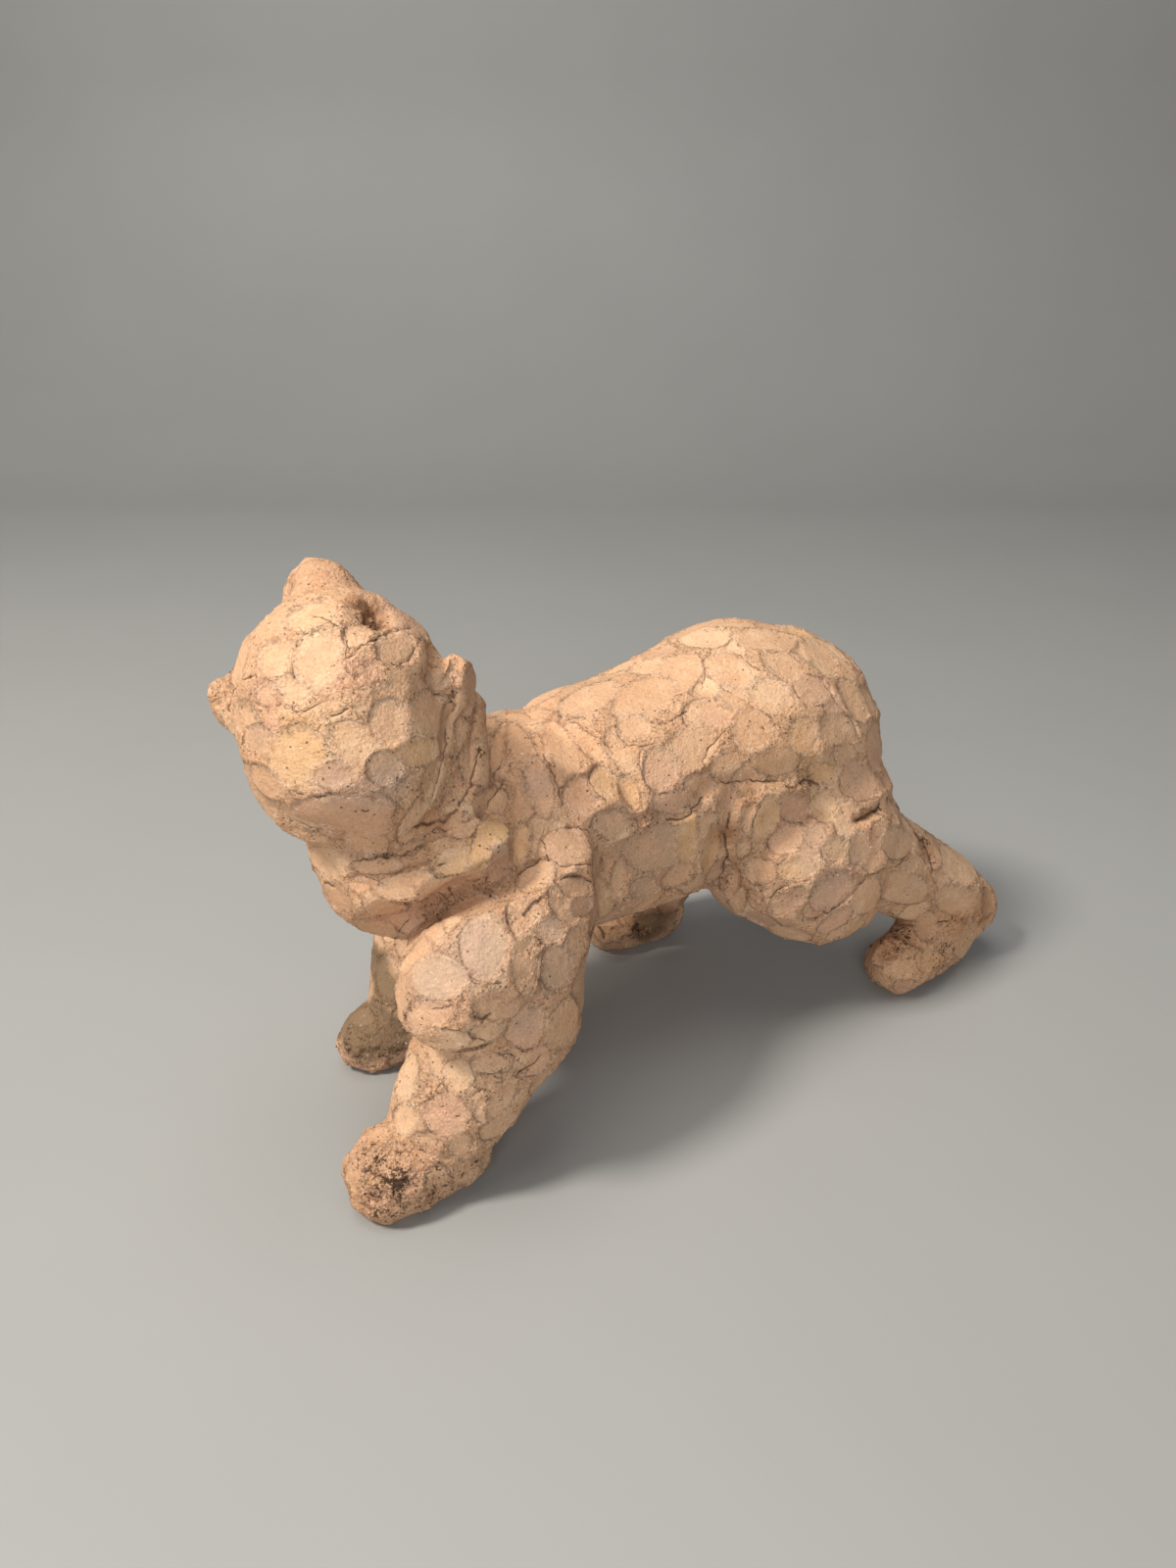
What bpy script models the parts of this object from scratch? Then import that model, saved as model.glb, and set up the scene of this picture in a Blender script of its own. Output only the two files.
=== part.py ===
# Bear figure: a striding bear of solid fired clay with its head thrown back, its whole skin cut in short scoops.
# Metres, +Z up. The bear faces -X, its left side is -Y, and it stands on its four flat soles at Z = 0.

import random

import bmesh
import bpy
import numpy as np
from mathutils import Matrix, Vector, kdtree

# Driving dimensions
FIGURE_LENGTH = 0.310        # ear tip to heel, along the back
SCOOP_WIDTH = 0.0150         # one scoop of the loop tool, across
SCOOP_STEP = 0.00045         # how far one scoop may stand above or below the next
SCOOP_REACH = 0.0030         # most that a scoop moves the modelled form
SCOOP_HOLLOW = 0.0004        # dip in the middle of a scoop
SOLE_PRESS = 0.0010          # how far the paws were pressed flat on the board
BLEND_GRAIN = 0.0018         # grain at which the lumps of clay are smoothed into each other
TRIANGLES = 9300             # faces of the finished solid
SEED = 11                    # the order in which the scoops were made

# Pose, proportions and carving are shares of the length: one share is a 310th of it.
SHARE = FIGURE_LENGTH / 310.0

# Lumps of clay, each the skin around a few balls (x, y, z, radius)
LUMPS = {
    "chest": [(-50, 0, 100, 41), (-64, 0, 94, 34), (10, 0, 102, 45)],
    "rump": [(10, 0, 102, 45), (46, 0, 110, 46.5), (64, 0, 106, 45.5), (71, 0, 94, 41.5)],
    "neck": [(-78, 0, 104, 34), (-98.5, -4, 109, 30.2), (-105, -8, 130, 27)],
    "collar_front": [(-118, -20, 107, 9), (-106, -31, 113, 9.5)],
    "collar_side": [(-106, -31, 113, 9.5), (-88, -37, 119, 9.5)],
    "skull": [(-114.5, -1, 163.5, 32), (-116.5, -9, 150, 31)],
    "muzzle": [(-112, 8, 172, 20), (-110.5, 16, 188, 11.5), (-103.5, 34, 186, 10)],
    "nose": [(-103, 37, 192, 5), (-107, 30, 190, 6)],
    "left_ear": [(-139, 11, 160, 9), (-143.5, 14.5, 165, 6)],
    "right_ear": [(-91, -25, 163, 5), (-88, -23, 171, 6.5), (-84, -20, 167, 5)],
    "neck_fold": [(-82, -16, 156, 8), (-86, -22, 132, 9)],
    "left_shoulder": [(-68, -22, 95, 30), (-80, -33, 86, 29)],
    "left_upper_arm": [(-80, -33, 86, 29), (-83, -38, 60, 25)],
    "left_arm_bulge": [(-92, -40, 84, 24), (-103, -44, 77, 20)],
    "left_forearm": [(-83, -38, 60, 25), (-104, -38, 32, 20), (-111, -37, 16, 16.5)],
    "left_fore_paw": [(-128, -37, 12, 15.5), (-108, -37, 14, 16)],
    "right_upper_arm": [(-60, 22, 92, 28), (-78, 30, 50, 18)],
    "right_forearm": [(-78, 30, 50, 18), (-86, 31, 16, 15)],
    "right_fore_paw": [(-86, 31, 14, 15), (-102, 32, 10, 12)],
    "left_thigh": [(47, -27, 73, 30), (74, -28, 79, 29), (64, -31, 60, 30)],
    "left_shank": [(81, -32, 66, 23), (128, -43, 36, 17)],
    "left_hock": [(128, -43, 36, 17), (146, -46, 23, 13.5), (126, -46, 13, 14)],
    "left_hind_paw": [(132, -46, 13, 14), (100, -50, 12, 13)],
    "right_thigh": [(45, 24, 78, 30), (68, 24, 82, 29), (56, 28, 66, 27)],
    "right_shank": [(52, 32, 60, 20), (38, 42, 22, 16)],
    "right_hind_paw": [(42, 43, 14, 15), (22, 45, 12, 13)],
}

# Folds and hollows pressed in along a few points of the skin: width, depth, points
FOLDS = {
    "nape": (4.5, 5.5, [(-144, -14, 138), (-134, -28, 131), (-122, -29, 122), (-110, -33, 124), (-94, -32, 136)]),
    "behind_cheek": (4, 5, [(-94, -32, 136), (-86, -30, 141), (-79, -22, 156)]),
    "ear_slit": (3, 3, [(-88, -24, 172), (-92, -28, 163), (-96, -32, 152), (-104, -35, 139)]),
    "shoulder": (5, 5, [(-116, -26, 94), (-98, -42, 109), (-87, -47, 111), (-73, -44, 116), (-66, -36, 124)]),
    "right_ear_cup": (3.5, 2.5, [(-92, -27, 172), (-93, -29, 168)]),
    "left_ear_cup": (3.5, 2.5, [(-143, 4, 170), (-140, 0, 162)]),
    "ear_notch": (3, 4, [(-92, -18, 178), (-93, -23, 172)]),
    "mane_front": (4, 3.5, [(-58, 0, 141), (-72, -17, 135), (-84, -31, 127)]),
    "mane_back": (4, 3, [(-55, -14, 137), (-66, -29, 130), (-75, -37, 122), (-80, -45, 113)]),
    "withers": (5, 2.5, [(-50, 6, 142), (-42, -14, 139), (-34, -31, 129), (-30, -42, 116)]),
    "flank_edge": (5, 3, [(-32, -41, 113), (-14, -43, 110), (1, -42, 116), (39, -45, 114), (50, -46, 108)]),
    "waist": (8, 5, [(9, -43, 112), (5, -45, 102), (7, -42, 86), (12, -36, 72)]),
    "flank": (14, 4, [(-36, -42, 100), (-22, -42, 99), (-8, -42, 90)]),
    "elbow": (4.5, 4.5, [(-124, -40, 62), (-111, -52, 62), (-100, -60, 61)]),
    "armpit": (5, 3, [(-52, -52, 92), (-50, -52, 78), (-55, -44, 62)]),
    "shank": (5, 3, [(92, -50, 40), (106, -55, 37), (120, -60, 31)]),
    "tail": (5, 4, [(84, -52, 92), (96, -40, 88), (102, -24, 84)]),
}
MIRRORED_FOLDS = ("shoulder", "withers", "flank_edge", "waist", "flank", "tail")

# Gouges pressed in after the scoops, so that they stay deep: width, depth, points
GOUGES = {
    "right_eye": (4.5, 6, [(-105, -11, 192), (-108, -16, 190)]),
    "left_eye": (4, 4.5, [(-123, 19.6, 183.7)]),
    "right_ear": (2.5, 2.5, [(-93, -24, 175), (-94, -27, 169)]),
    "cheek_slit": (2, 3, [(-91, -28, 166), (-93, -28, 157), (-100, -35, 148), (-104, -35, 140)]),
    "nape_crease": (2.5, 3, [(-134, -28, 131), (-123, -28, 122), (-110, -33, 125), (-94, -32, 136), (-82, -26, 148)]),
    "shoulder_crease": (2.5, 2.5, [(-115, -28, 96), (-109, -34, 104), (-98, -42, 109), (-87, -47, 111)]),
    "elbow_step": (2.5, 2.5, [(-111, -42, 64), (-103, -55, 66), (-95, -60, 58)]),
    "flank_line": (2.5, 2, [(-32, -40, 114), (-14, -42, 110), (1, -41, 117), (18, -44, 116)]),
    "tail_notch": (3, 3, [(64, -53, 91), (75, -53, 93)]),
}

# The head's own directions: its middle, where the muzzle points, and the line through its ears
HEAD_MIDDLE = (-115.5, -5, 157)
HEAD_FORWARD = (0.24, 0.77, 0.59)
HEAD_LEFT = (-0.84, 0.54, -0.09)

# Dents of the face, mirrored on the head: width, depth, (forward, sideways, crownward)
FACE_DENTS = {
    "nostril": (1.8, 1.5, [(61, 3, 3)]),
    "mouth": (2.2, 1.8, [(38, 11, -5), (50, 9, -6), (60, 0, -5)]),
}

# Where the scoops are wider or narrower than usual: middle, radius, width as a share of the usual one
SCOOP_ZONES = {
    "head": (HEAD_MIDDLE, 46, 1.12),
    "left_thigh": ((66, -48, 70), 30, 0.80),
    "left_fore_paw": ((-122, -38, 8), 26, 0.72),
    "right_fore_paw": ((-96, 31, 8), 24, 0.72),
    "left_hind_paw": ((118, -48, 8), 32, 0.75),
    "right_hind_paw": ((32, 44, 8), 26, 0.75),
}


def ball(mesh, x, y, z, radius):
    """Adds one round ball."""
    place = Matrix.Translation(Vector((x, y, z)) * SHARE)
    bmesh.ops.create_icosphere(mesh, subdivisions=3, radius=radius * SHARE, matrix=place)


def lump(whole, balls):
    """Adds the skin stretched around a few balls."""
    part = bmesh.new()
    for x, y, z, radius in balls:
        ball(part, x, y, z, radius)
    hull = bmesh.ops.convex_hull(part, input=part.verts)
    inner = [item for item in hull["geom_interior"] if isinstance(item, bmesh.types.BMVert)]
    bmesh.ops.delete(part, geom=inner, context="VERTS")
    skin = bpy.data.meshes.new("lump")
    part.to_mesh(skin)
    part.free()
    whole.from_mesh(skin)
    bpy.data.meshes.remove(skin)


def modelled_form():
    """The lumps pressed together and smoothed into one body, as a plain mesh before any cut."""
    whole = bmesh.new()
    for balls in LUMPS.values():
        lump(whole, balls)
    mesh = bpy.data.meshes.new("lumps")
    whole.to_mesh(mesh)
    whole.free()
    form = bpy.data.objects.new("lumps", mesh)
    bpy.context.scene.collection.objects.link(form)
    remesh = form.modifiers.new("one body", "REMESH")
    remesh.mode = "VOXEL"
    remesh.voxel_size = BLEND_GRAIN
    smooth = form.modifiers.new("smoothed joins", "SMOOTH")
    smooth.factor = 0.5
    smooth.iterations = 8
    evaluated = form.evaluated_get(bpy.context.evaluated_depsgraph_get())
    smoothed = bpy.data.meshes.new_from_object(evaluated)
    bpy.data.objects.remove(form)
    return smoothed


def read_points(mesh, attribute):
    """The positions or normals of a mesh's points as rows of three."""
    values = np.empty(len(mesh.vertices) * 3)
    source = mesh.vertices if attribute == "co" else mesh.vertex_normals
    source.foreach_get("co" if attribute == "co" else "vector", values)
    return values.reshape(-1, 3)


def write_points(mesh, points):
    """Moves a mesh's points to the given rows."""
    mesh.vertices.foreach_set("co", points.ravel())
    mesh.update()


def line_distance(points, line):
    """Each point's distance to a line through a few points."""
    nearest = np.full(len(points), np.inf)
    starts = line[:-1] if len(line) > 1 else line
    ends = line[1:] if len(line) > 1 else line
    for start, end in zip(starts, ends):
        along = end - start
        length = max(float(along @ along), 1e-12)
        share = np.clip((points - start) @ along / length, 0.0, 1.0)
        foot = start + share[:, None] * along
        nearest = np.minimum(nearest, np.linalg.norm(points - foot, axis=1))
    return nearest


def head_axes():
    """The head's forward, left and crown directions, square to each other."""
    forward = Vector(HEAD_FORWARD).normalized()
    crown = forward.cross(Vector(HEAD_LEFT)).normalized()
    left = crown.cross(forward)
    return np.array([forward, left, crown])


def all_folds():
    """Every fold and hollow of both sides: width, depth and line in shares."""
    folds = []
    for name, (width, depth, line) in FOLDS.items():
        rows = np.array(line, dtype=float)
        folds.append((width, depth, rows))
        if name in MIRRORED_FOLDS:
            folds.append((width, depth, rows * (1, -1, 1)))
    return folds


def all_gouges():
    """Every gouge, and the dents on both sides of the face: width, depth and line in shares."""
    gouges = [(width, depth, np.array(line, dtype=float)) for width, depth, line in GOUGES.values()]
    axes = head_axes()
    for width, depth, line in FACE_DENTS.values():
        for side in (-1, 1):
            rows = np.array(line, dtype=float) * (1, side, 1)
            gouges.append((width, depth, np.array(HEAD_MIDDLE) + rows @ axes))
    return gouges


def press(mesh, lines):
    """Presses lines into the skin, each to its own width and depth."""
    points = read_points(mesh, "co")
    normals = read_points(mesh, "normal")
    pressed = np.zeros(len(points))
    for width, depth, line in lines:
        near = np.exp(-(line_distance(points, line * SHARE) / (width * SHARE)) ** 2)
        pressed = np.maximum(pressed, depth * SHARE * near)
    write_points(mesh, points - normals * pressed[:, None])


def scoop_width_at(place):
    """The width of a scoop at a place on the skin."""
    width = SCOOP_WIDTH
    for middle, radius, share in SCOOP_ZONES.values():
        if (place - Vector(middle) * SHARE).length < radius * SHARE:
            width = SCOOP_WIDTH * share
    return width


def scoop_places(points):
    """Places on the skin for the scoops, picked at random but never too close together."""
    tree = kdtree.KDTree(len(points))
    for index, point in enumerate(points):
        tree.insert(point, index)
    tree.balance()
    chance = random.Random(SEED)
    low = points.min(axis=0)
    high = points.max(axis=0)
    shell = 5.0 * SHARE
    places = []
    for _ in range(24000):
        tried = Vector([chance.uniform(low[axis], high[axis]) for axis in range(3)])
        room = chance.uniform(0.62, 0.86)
        found, _, distance = tree.find(tried)
        if distance > shell:
            continue
        width = scoop_width_at(found)
        if all((found - other).length > room * width for other, _ in places):
            places.append((found, width))
    return places, tree


def scoops(points, normals):
    """Each scoop as its middle, its three directions, its half widths, its tilt and its height."""
    places, tree = scoop_places(points)
    chance = random.Random(SEED + 1)
    made = []
    for place, width in places:
        around = [index for _, index, _ in tree.find_range(place, width * 0.45)]
        facing = Vector(normals[around].mean(axis=0)).normalized()
        stroke = Vector((chance.gauss(0.3, 0.5), chance.gauss(0.0, 0.5), chance.gauss(-1.0, 0.5)))
        along = (stroke - facing * stroke.dot(facing)).normalized()
        across = facing.cross(along)
        middle = np.mean(points[around], axis=0)
        half = width * 0.5
        made.append({
            "middle": middle,
            "axes": np.array([along, across, facing]),
            "half": (half * chance.uniform(1.0, 1.4), half * chance.uniform(0.8, 1.05)),
            "tilt": (chance.gauss(0.0, 0.05), chance.gauss(0.0, 0.04)),
            "height": chance.gauss(-0.3, 0.7) * SCOOP_STEP,
            "order": chance.random(),
        })
    return made


def cut_scoops(mesh):
    """Cuts the skin into shallow overlapping scoops, the later ones over the earlier ones."""
    points = read_points(mesh, "co")
    normals = read_points(mesh, "normal")
    made = scoops(points, normals)
    best = np.full(len(points), -1e9)
    moved = points.copy()
    for scoop in made:
        offset = points - scoop["middle"]
        near = np.flatnonzero(np.einsum("ij,ij->i", offset, offset) < (SCOOP_WIDTH * 1.3) ** 2)
        along, across, height = (offset[near] @ scoop["axes"].T).T
        facing = normals[near] @ scoop["axes"][2]
        spread = np.hypot(along / scoop["half"][0], across / scoop["half"][1])
        rank = np.where(spread < 1.0, 10.0 + scoop["order"], -spread)
        rank = np.where(facing < 0.35, rank - 50.0, rank)
        dip = SCOOP_HOLLOW * (np.minimum(spread, 1.5) ** 2 - 0.6)
        wanted = scoop["height"] + scoop["tilt"][0] * along + scoop["tilt"][1] * across + dip
        shift = np.clip(wanted - height, -SCOOP_REACH, SCOOP_REACH)
        wins = rank > best[near]
        chosen = near[wins]
        best[chosen] = rank[wins]
        moved[chosen] = points[chosen] + shift[wins, None] * scoop["axes"][2]
    write_points(mesh, moved)


def stand(mesh):
    """Presses the soles flat and puts the figure's middle over the origin."""
    points = read_points(mesh, "co")
    points[:, 2] = np.maximum(points[:, 2] - SOLE_PRESS, 0.0)
    middle = (points.min(axis=0) + points.max(axis=0)) / 2
    points[:, 0] -= middle[0]
    points[:, 1] -= middle[1]
    write_points(mesh, points)


def thin_out(mesh):
    """Leaves the faces that the cut form needs and no more, with the soles still flat."""
    carved = bpy.data.objects.new("carved", mesh)
    bpy.context.scene.collection.objects.link(carved)
    triangles = sum(len(face.vertices) - 2 for face in mesh.polygons)
    thin = carved.modifiers.new("fewer faces", "DECIMATE")
    thin.ratio = TRIANGLES / triangles
    evaluated = carved.evaluated_get(bpy.context.evaluated_depsgraph_get())
    finished = bpy.data.meshes.new_from_object(evaluated)
    bpy.data.objects.remove(carved)
    points = read_points(finished, "co")
    points[:, 2] = np.where(points[:, 2] < SOLE_PRESS * 0.2, 0.0, points[:, 2])
    write_points(finished, points)
    return finished


def terracotta():
    """Warm, matt, unglazed clay."""
    material = bpy.data.materials.new("terracotta")
    material.use_nodes = True
    shader = material.node_tree.nodes["Principled BSDF"]
    shader.inputs["Base Color"].default_value = (0.58, 0.36, 0.22, 1.0)
    shader.inputs["Roughness"].default_value = 0.92
    shader.inputs["Metallic"].default_value = 0.0
    return material


def main():
    for old in list(bpy.data.objects):
        bpy.data.objects.remove(old, do_unlink=True)
    mesh = modelled_form()
    press(mesh, all_folds())
    cut_scoops(mesh)
    press(mesh, all_gouges())
    stand(mesh)
    finished = thin_out(mesh)
    finished.name = "bear_figure"
    finished.materials.append(terracotta())
    bear = bpy.data.objects.new("bear_figure", finished)
    figure = bpy.data.collections.new("terracotta_bear")
    bpy.context.scene.collection.children.link(figure)
    figure.objects.link(bear)


main()
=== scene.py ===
# A striding bear of coarse fired clay. The skin takes the place of the imported solid: the same lumps
# and folds, cut in scoops, with cracks, crumbs, stains, pores, painted shade and painted highlights on top.
# Metres, +Z up. The bear faces -X, its left side is -Y, and it stands on its flat soles at Z = 0.

import math
import random

import bmesh
import bpy
import numpy as np
from mathutils import Matrix, Vector, bvhtree, kdtree


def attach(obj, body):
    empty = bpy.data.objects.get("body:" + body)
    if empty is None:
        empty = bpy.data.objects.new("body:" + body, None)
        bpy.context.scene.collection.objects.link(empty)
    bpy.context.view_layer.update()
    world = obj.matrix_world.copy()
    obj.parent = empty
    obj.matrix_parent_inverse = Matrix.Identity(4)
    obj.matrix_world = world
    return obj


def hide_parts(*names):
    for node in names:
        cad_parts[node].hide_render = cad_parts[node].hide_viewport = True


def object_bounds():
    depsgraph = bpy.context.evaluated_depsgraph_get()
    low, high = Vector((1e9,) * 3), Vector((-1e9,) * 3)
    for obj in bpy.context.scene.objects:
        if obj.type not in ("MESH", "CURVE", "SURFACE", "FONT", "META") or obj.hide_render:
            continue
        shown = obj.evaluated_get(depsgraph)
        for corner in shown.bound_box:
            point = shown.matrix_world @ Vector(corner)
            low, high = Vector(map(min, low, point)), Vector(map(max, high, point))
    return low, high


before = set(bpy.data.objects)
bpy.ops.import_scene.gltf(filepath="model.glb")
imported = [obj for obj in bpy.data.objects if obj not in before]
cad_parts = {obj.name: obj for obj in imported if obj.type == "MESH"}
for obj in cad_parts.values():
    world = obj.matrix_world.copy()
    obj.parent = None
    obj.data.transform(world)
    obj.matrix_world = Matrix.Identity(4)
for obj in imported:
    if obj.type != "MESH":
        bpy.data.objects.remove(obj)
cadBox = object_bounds()
print("frame loaded, box", [round(side, 4) for side in cadBox[1] - cadBox[0]])

share = 0.001          # the lumps and folds below are in shares of the length, at this many metres each

# the camera stands where the photograph was taken
camera = {
    "place": (-0.2527, -0.3131, 0.2890),
    "placeToForm": (-0.247, -0.316, 0.290),    # the same place, before the form is set in the frame
    "down": 25.0,                # degrees below level
    "turn": -35.4,               # degrees about +Z from looking along +Y
    "picture": (1200, 1600),
    "focus": 1202.0,             # focal length in pixels of that picture
    "sensor": 36.0,
}

# lumps of clay, each the skin around a few balls: x, y, z, radius
lumps = {
    "chest": [(-50, 0, 100, 41), (-64, 0, 94, 34), (10, 0, 102, 45)],
    "rump": [(10, 0, 102, 45), (46, 0, 110, 46.5), (64, 0, 106, 45.5), (71, 0, 94, 41.5)],
    "neck": [(-78, 0, 104, 34), (-98.5, -4, 109, 30.2), (-105, -8, 130, 27)],
    "collarFront": [(-118, -20, 107, 9), (-106, -31, 113, 9.5)],
    "collarSide": [(-106, -31, 113, 9.5), (-88, -37, 119, 9.5)],
    "skull": [(-114.5, -1, 163.5, 32), (-116.5, -9, 150, 31)],
    "muzzle": [(-112, 8, 172, 20), (-110.5, 16, 188, 11.5), (-103.5, 34, 186, 10)],
    "nose": [(-103, 37, 192, 5), (-107, 30, 190, 6)],
    "leftEar": [(-139, 11, 160, 9), (-143.5, 14.5, 165, 6)],
    "rightEar": [(-91, -25, 163, 5), (-88, -23, 171, 6.5), (-84, -20, 167, 5)],
    "neckFold": [(-82, -16, 156, 8), (-86, -22, 132, 9)],
    "leftShoulder": [(-68, -22, 95, 30), (-80, -33, 86, 29)],
    "leftUpperArm": [(-80, -33, 86, 29), (-83, -38, 60, 25)],
    "leftArmBulge": [(-92, -40, 84, 24), (-103, -44, 77, 20)],
    "leftForearm": [(-83, -38, 60, 25), (-104, -38, 32, 20), (-111, -37, 16, 16.5)],
    "leftForePaw": [(-128, -37, 12, 15.5), (-108, -37, 14, 16)],
    "rightUpperArm": [(-60, 22, 92, 28), (-78, 30, 50, 18)],
    "rightForearm": [(-78, 30, 50, 18), (-86, 31, 16, 15)],
    "rightForePaw": [(-86, 31, 14, 15), (-102, 32, 10, 12)],
    "leftThigh": [(47, -27, 73, 30), (74, -28, 79, 29), (64, -31, 60, 30)],
    "leftShank": [(81, -32, 66, 23), (128, -43, 36, 17)],
    "leftHock": [(128, -43, 36, 17), (146, -46, 23, 13.5), (126, -46, 13, 14)],
    "leftHindPaw": [(132, -46, 13, 14), (100, -50, 12, 13)],
    "rightThigh": [(45, 24, 78, 30), (68, 24, 82, 29), (56, 28, 66, 27)],
    "rightShank": [(52, 32, 60, 20), (38, 42, 22, 16)],
    "rightHindPaw": [(42, 43, 14, 15), (22, 45, 12, 13)],
}
form = {
    "grain": 1.8,                # the scoops are placed on the form at this grain, in shares
    "fine": 0.56,    # the skin itself is made at this grain
    "smoothing": 8,
    "soles": 1.0,                # how far the paws were pressed flat
    "triangles": 197000,
}

# folds and hollows of the form: width, depth, points; the mirrored ones are on both sides
folds = {
    "nape": (4.5, 5.5, [(-144, -14, 138), (-134, -28, 131), (-122, -29, 122), (-110, -33, 124),
                        (-94, -32, 136)]),
    "behindCheek": (4, 5, [(-94, -32, 136), (-86, -30, 141), (-79, -22, 156)]),
    "earSlit": (3, 3, [(-88, -24, 172), (-92, -28, 163), (-96, -32, 152), (-104, -35, 139)]),
    "shoulder": (5, 5, [(-116, -26, 94), (-98, -42, 109), (-87, -47, 111), (-73, -44, 116),
                        (-66, -36, 124)]),
    "rightEarCup": (3.5, 2.5, [(-92, -27, 172), (-93, -29, 168)]),
    "leftEarCup": (3.5, 2.5, [(-143, 4, 170), (-140, 0, 162)]),
    "earNotch": (3, 4, [(-92, -18, 178), (-93, -23, 172)]),
    "maneFront": (4, 3.5, [(-58, 0, 141), (-72, -17, 135), (-84, -31, 127)]),
    "maneBack": (4, 3, [(-55, -14, 137), (-66, -29, 130), (-75, -37, 122), (-80, -45, 113)]),
    "withers": (5, 2.5, [(-50, 6, 142), (-42, -14, 139), (-34, -31, 129), (-30, -42, 116)]),
    "flankEdge": (5, 3, [(-32, -41, 113), (-14, -43, 110), (1, -42, 116), (39, -45, 114), (50, -46, 108)]),
    "waist": (8, 5, [(9, -43, 112), (5, -45, 102), (7, -42, 86), (12, -36, 72)]),
    "flank": (14, 4, [(-36, -42, 100), (-22, -42, 99), (-8, -42, 90)]),
    "elbow": (4.5, 4.5, [(-124, -40, 62), (-111, -52, 62), (-100, -60, 61)]),
    "armpit": (5, 3, [(-52, -52, 92), (-50, -52, 78), (-55, -44, 62)]),
    "shank": (5, 3, [(92, -50, 40), (106, -55, 37), (120, -60, 31)]),
    "tail": (5, 4, [(84, -52, 92), (96, -40, 88), (102, -24, 84)]),
}
mirroredFolds = ("shoulder", "withers", "flankEdge", "waist", "flank", "tail")

# gouges pressed in after the scoops: width, depth, points
gouges = {
    "rightEye": (4.5, 6, [(-105, -11, 192), (-108, -16, 190)]),
    "leftEye": (4, 4.5, [(-123, 19.6, 183.7)]),
    "rightEar": (2.5, 2.5, [(-93, -24, 175), (-94, -27, 169)]),
    "cheekSlit": (2, 3, [(-91, -28, 166), (-93, -28, 157), (-100, -35, 148), (-104, -35, 140)]),
    "napeCrease": (2.5, 3, [(-134, -28, 131), (-123, -28, 122), (-110, -33, 125), (-94, -32, 136),
                            (-82, -26, 148)]),
    "shoulderCrease": (2.5, 2.5, [(-115, -28, 96), (-109, -34, 104), (-98, -42, 109), (-87, -47, 111)]),
    "elbowStep": (2.5, 2.5, [(-111, -42, 64), (-103, -55, 66), (-95, -60, 58)]),
    "flankLine": (2.5, 2, [(-32, -40, 114), (-14, -42, 110), (1, -41, 117), (18, -44, 116)]),
    "tailNotch": (3, 3, [(64, -53, 91), (75, -53, 93)]),
}

# the head's middle, where the muzzle points, the line through its ears, and dents on both sides of the face
head = {
    "middle": (-115.5, -5, 157),
    "forward": (0.24, 0.77, 0.59),
    "left": (-0.84, 0.54, -0.09),
    "dents": {
        "nostril": (1.8, 1.5, [(61, 3, 3)]),
        "mouth": (2.2, 1.8, [(38, 11, -5), (50, 9, -6), (60, 0, -5)]),
    },
}

# the loop tool's scoops, lengths in shares; zones are middle, radius and width beside the usual one
tool = {
    "seed": 11,
    "width": 15.0,
    "step": 0.45,                # how far one scoop may stand above or below the next
    "reach": 3.0,                # most that a scoop cuts into the form
    "rise": 0.75,                # most that a scoop's rim stands above the form
    "hollow": 0.34,              # dip in the middle of a scoop
    "flatness": 0.62,            # 1 for level floors, 0 for floors that follow the form
    "cover": 0.92,               # clean part of a scoop, as a share of its outline
    "sink": 0.50,                # how far the floor drops at a scoop's lip
    "burr": 0.40,                # clay pushed up outside the lip
    "ground": 0.30,              # roughness of the clay left between scoops
    "crumble": 0.62,             # roughness of the crumbly places
    "feltOver": 2.2,             # how far a scoop is felt, in its own radii
    "facing": 0.35,              # least that the skin faces the tool
    "brim": 1.4,                 # where the dip ends, in radii
    "level": 0.6,                # lifts the dip, so that a scoop is as deep as its height says
    "sag": 0.35,                 # how much of the form's bulge a level floor keeps
    "fade": 3.0,                 # how fast a scoop's say over the clay beside it drops
    "lipWidth": 1.8,
    "edgeless": 3.0,             # this far from any edge
    "zones": {
        "head": ((-115.5, -5, 157), 46, 1.12),
        "leftThigh": ((66, -48, 70), 30, 0.80),
        "leftForePaw": ((-122, -38, 8), 26, 0.72),
        "rightForePaw": ((-96, 31, 8), 24, 0.72),
        "leftHindPaw": ((118, -48, 8), 32, 0.75),
        "rightHindPaw": ((32, 44, 8), 26, 0.75),
    },
    # how deep the seen scoops are, beside the usual
    "depths": {
        "head": 0.8, "collar": 1.6, "mane": 2.0, "back": 0.9, "flank": 2.6, "thigh": 1.7,
        "hindLeg": 1.4, "upperArm": 1.2, "forearm": 1.0,
    },
    "tones": {"grey": 0.10, "pink": 0.30, "clay": 0.50, "light": 0.70, "ochre": 0.90},
}

# the scoops of the sides that the photograph doesn't show; pairs are low and high, or mean and spread
looseScoops = {
    "tries": 24000,
    "room": (0.62, 0.86),        # closest that two of them come, in widths
    "offForm": 5.0,
    "around": 0.45,              # how much of the form one faces, in widths
    "stroke": ((0.3, 0.5), (0.0, 0.5), (-1.0, 0.5)),     # the way the tool went, along each axis
    "long": (0.85, 1.6),
    "short": (0.70, 1.10),
    "tiltAlong": (0.0, 0.05),
    "tiltAcross": (0.0, 0.04),
    "height": (-0.3, 0.7),
    "lip": (0.0, 1.1),
    "lipStrength": 0.9,
    "tone": (0.5, 0.19),
}
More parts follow.
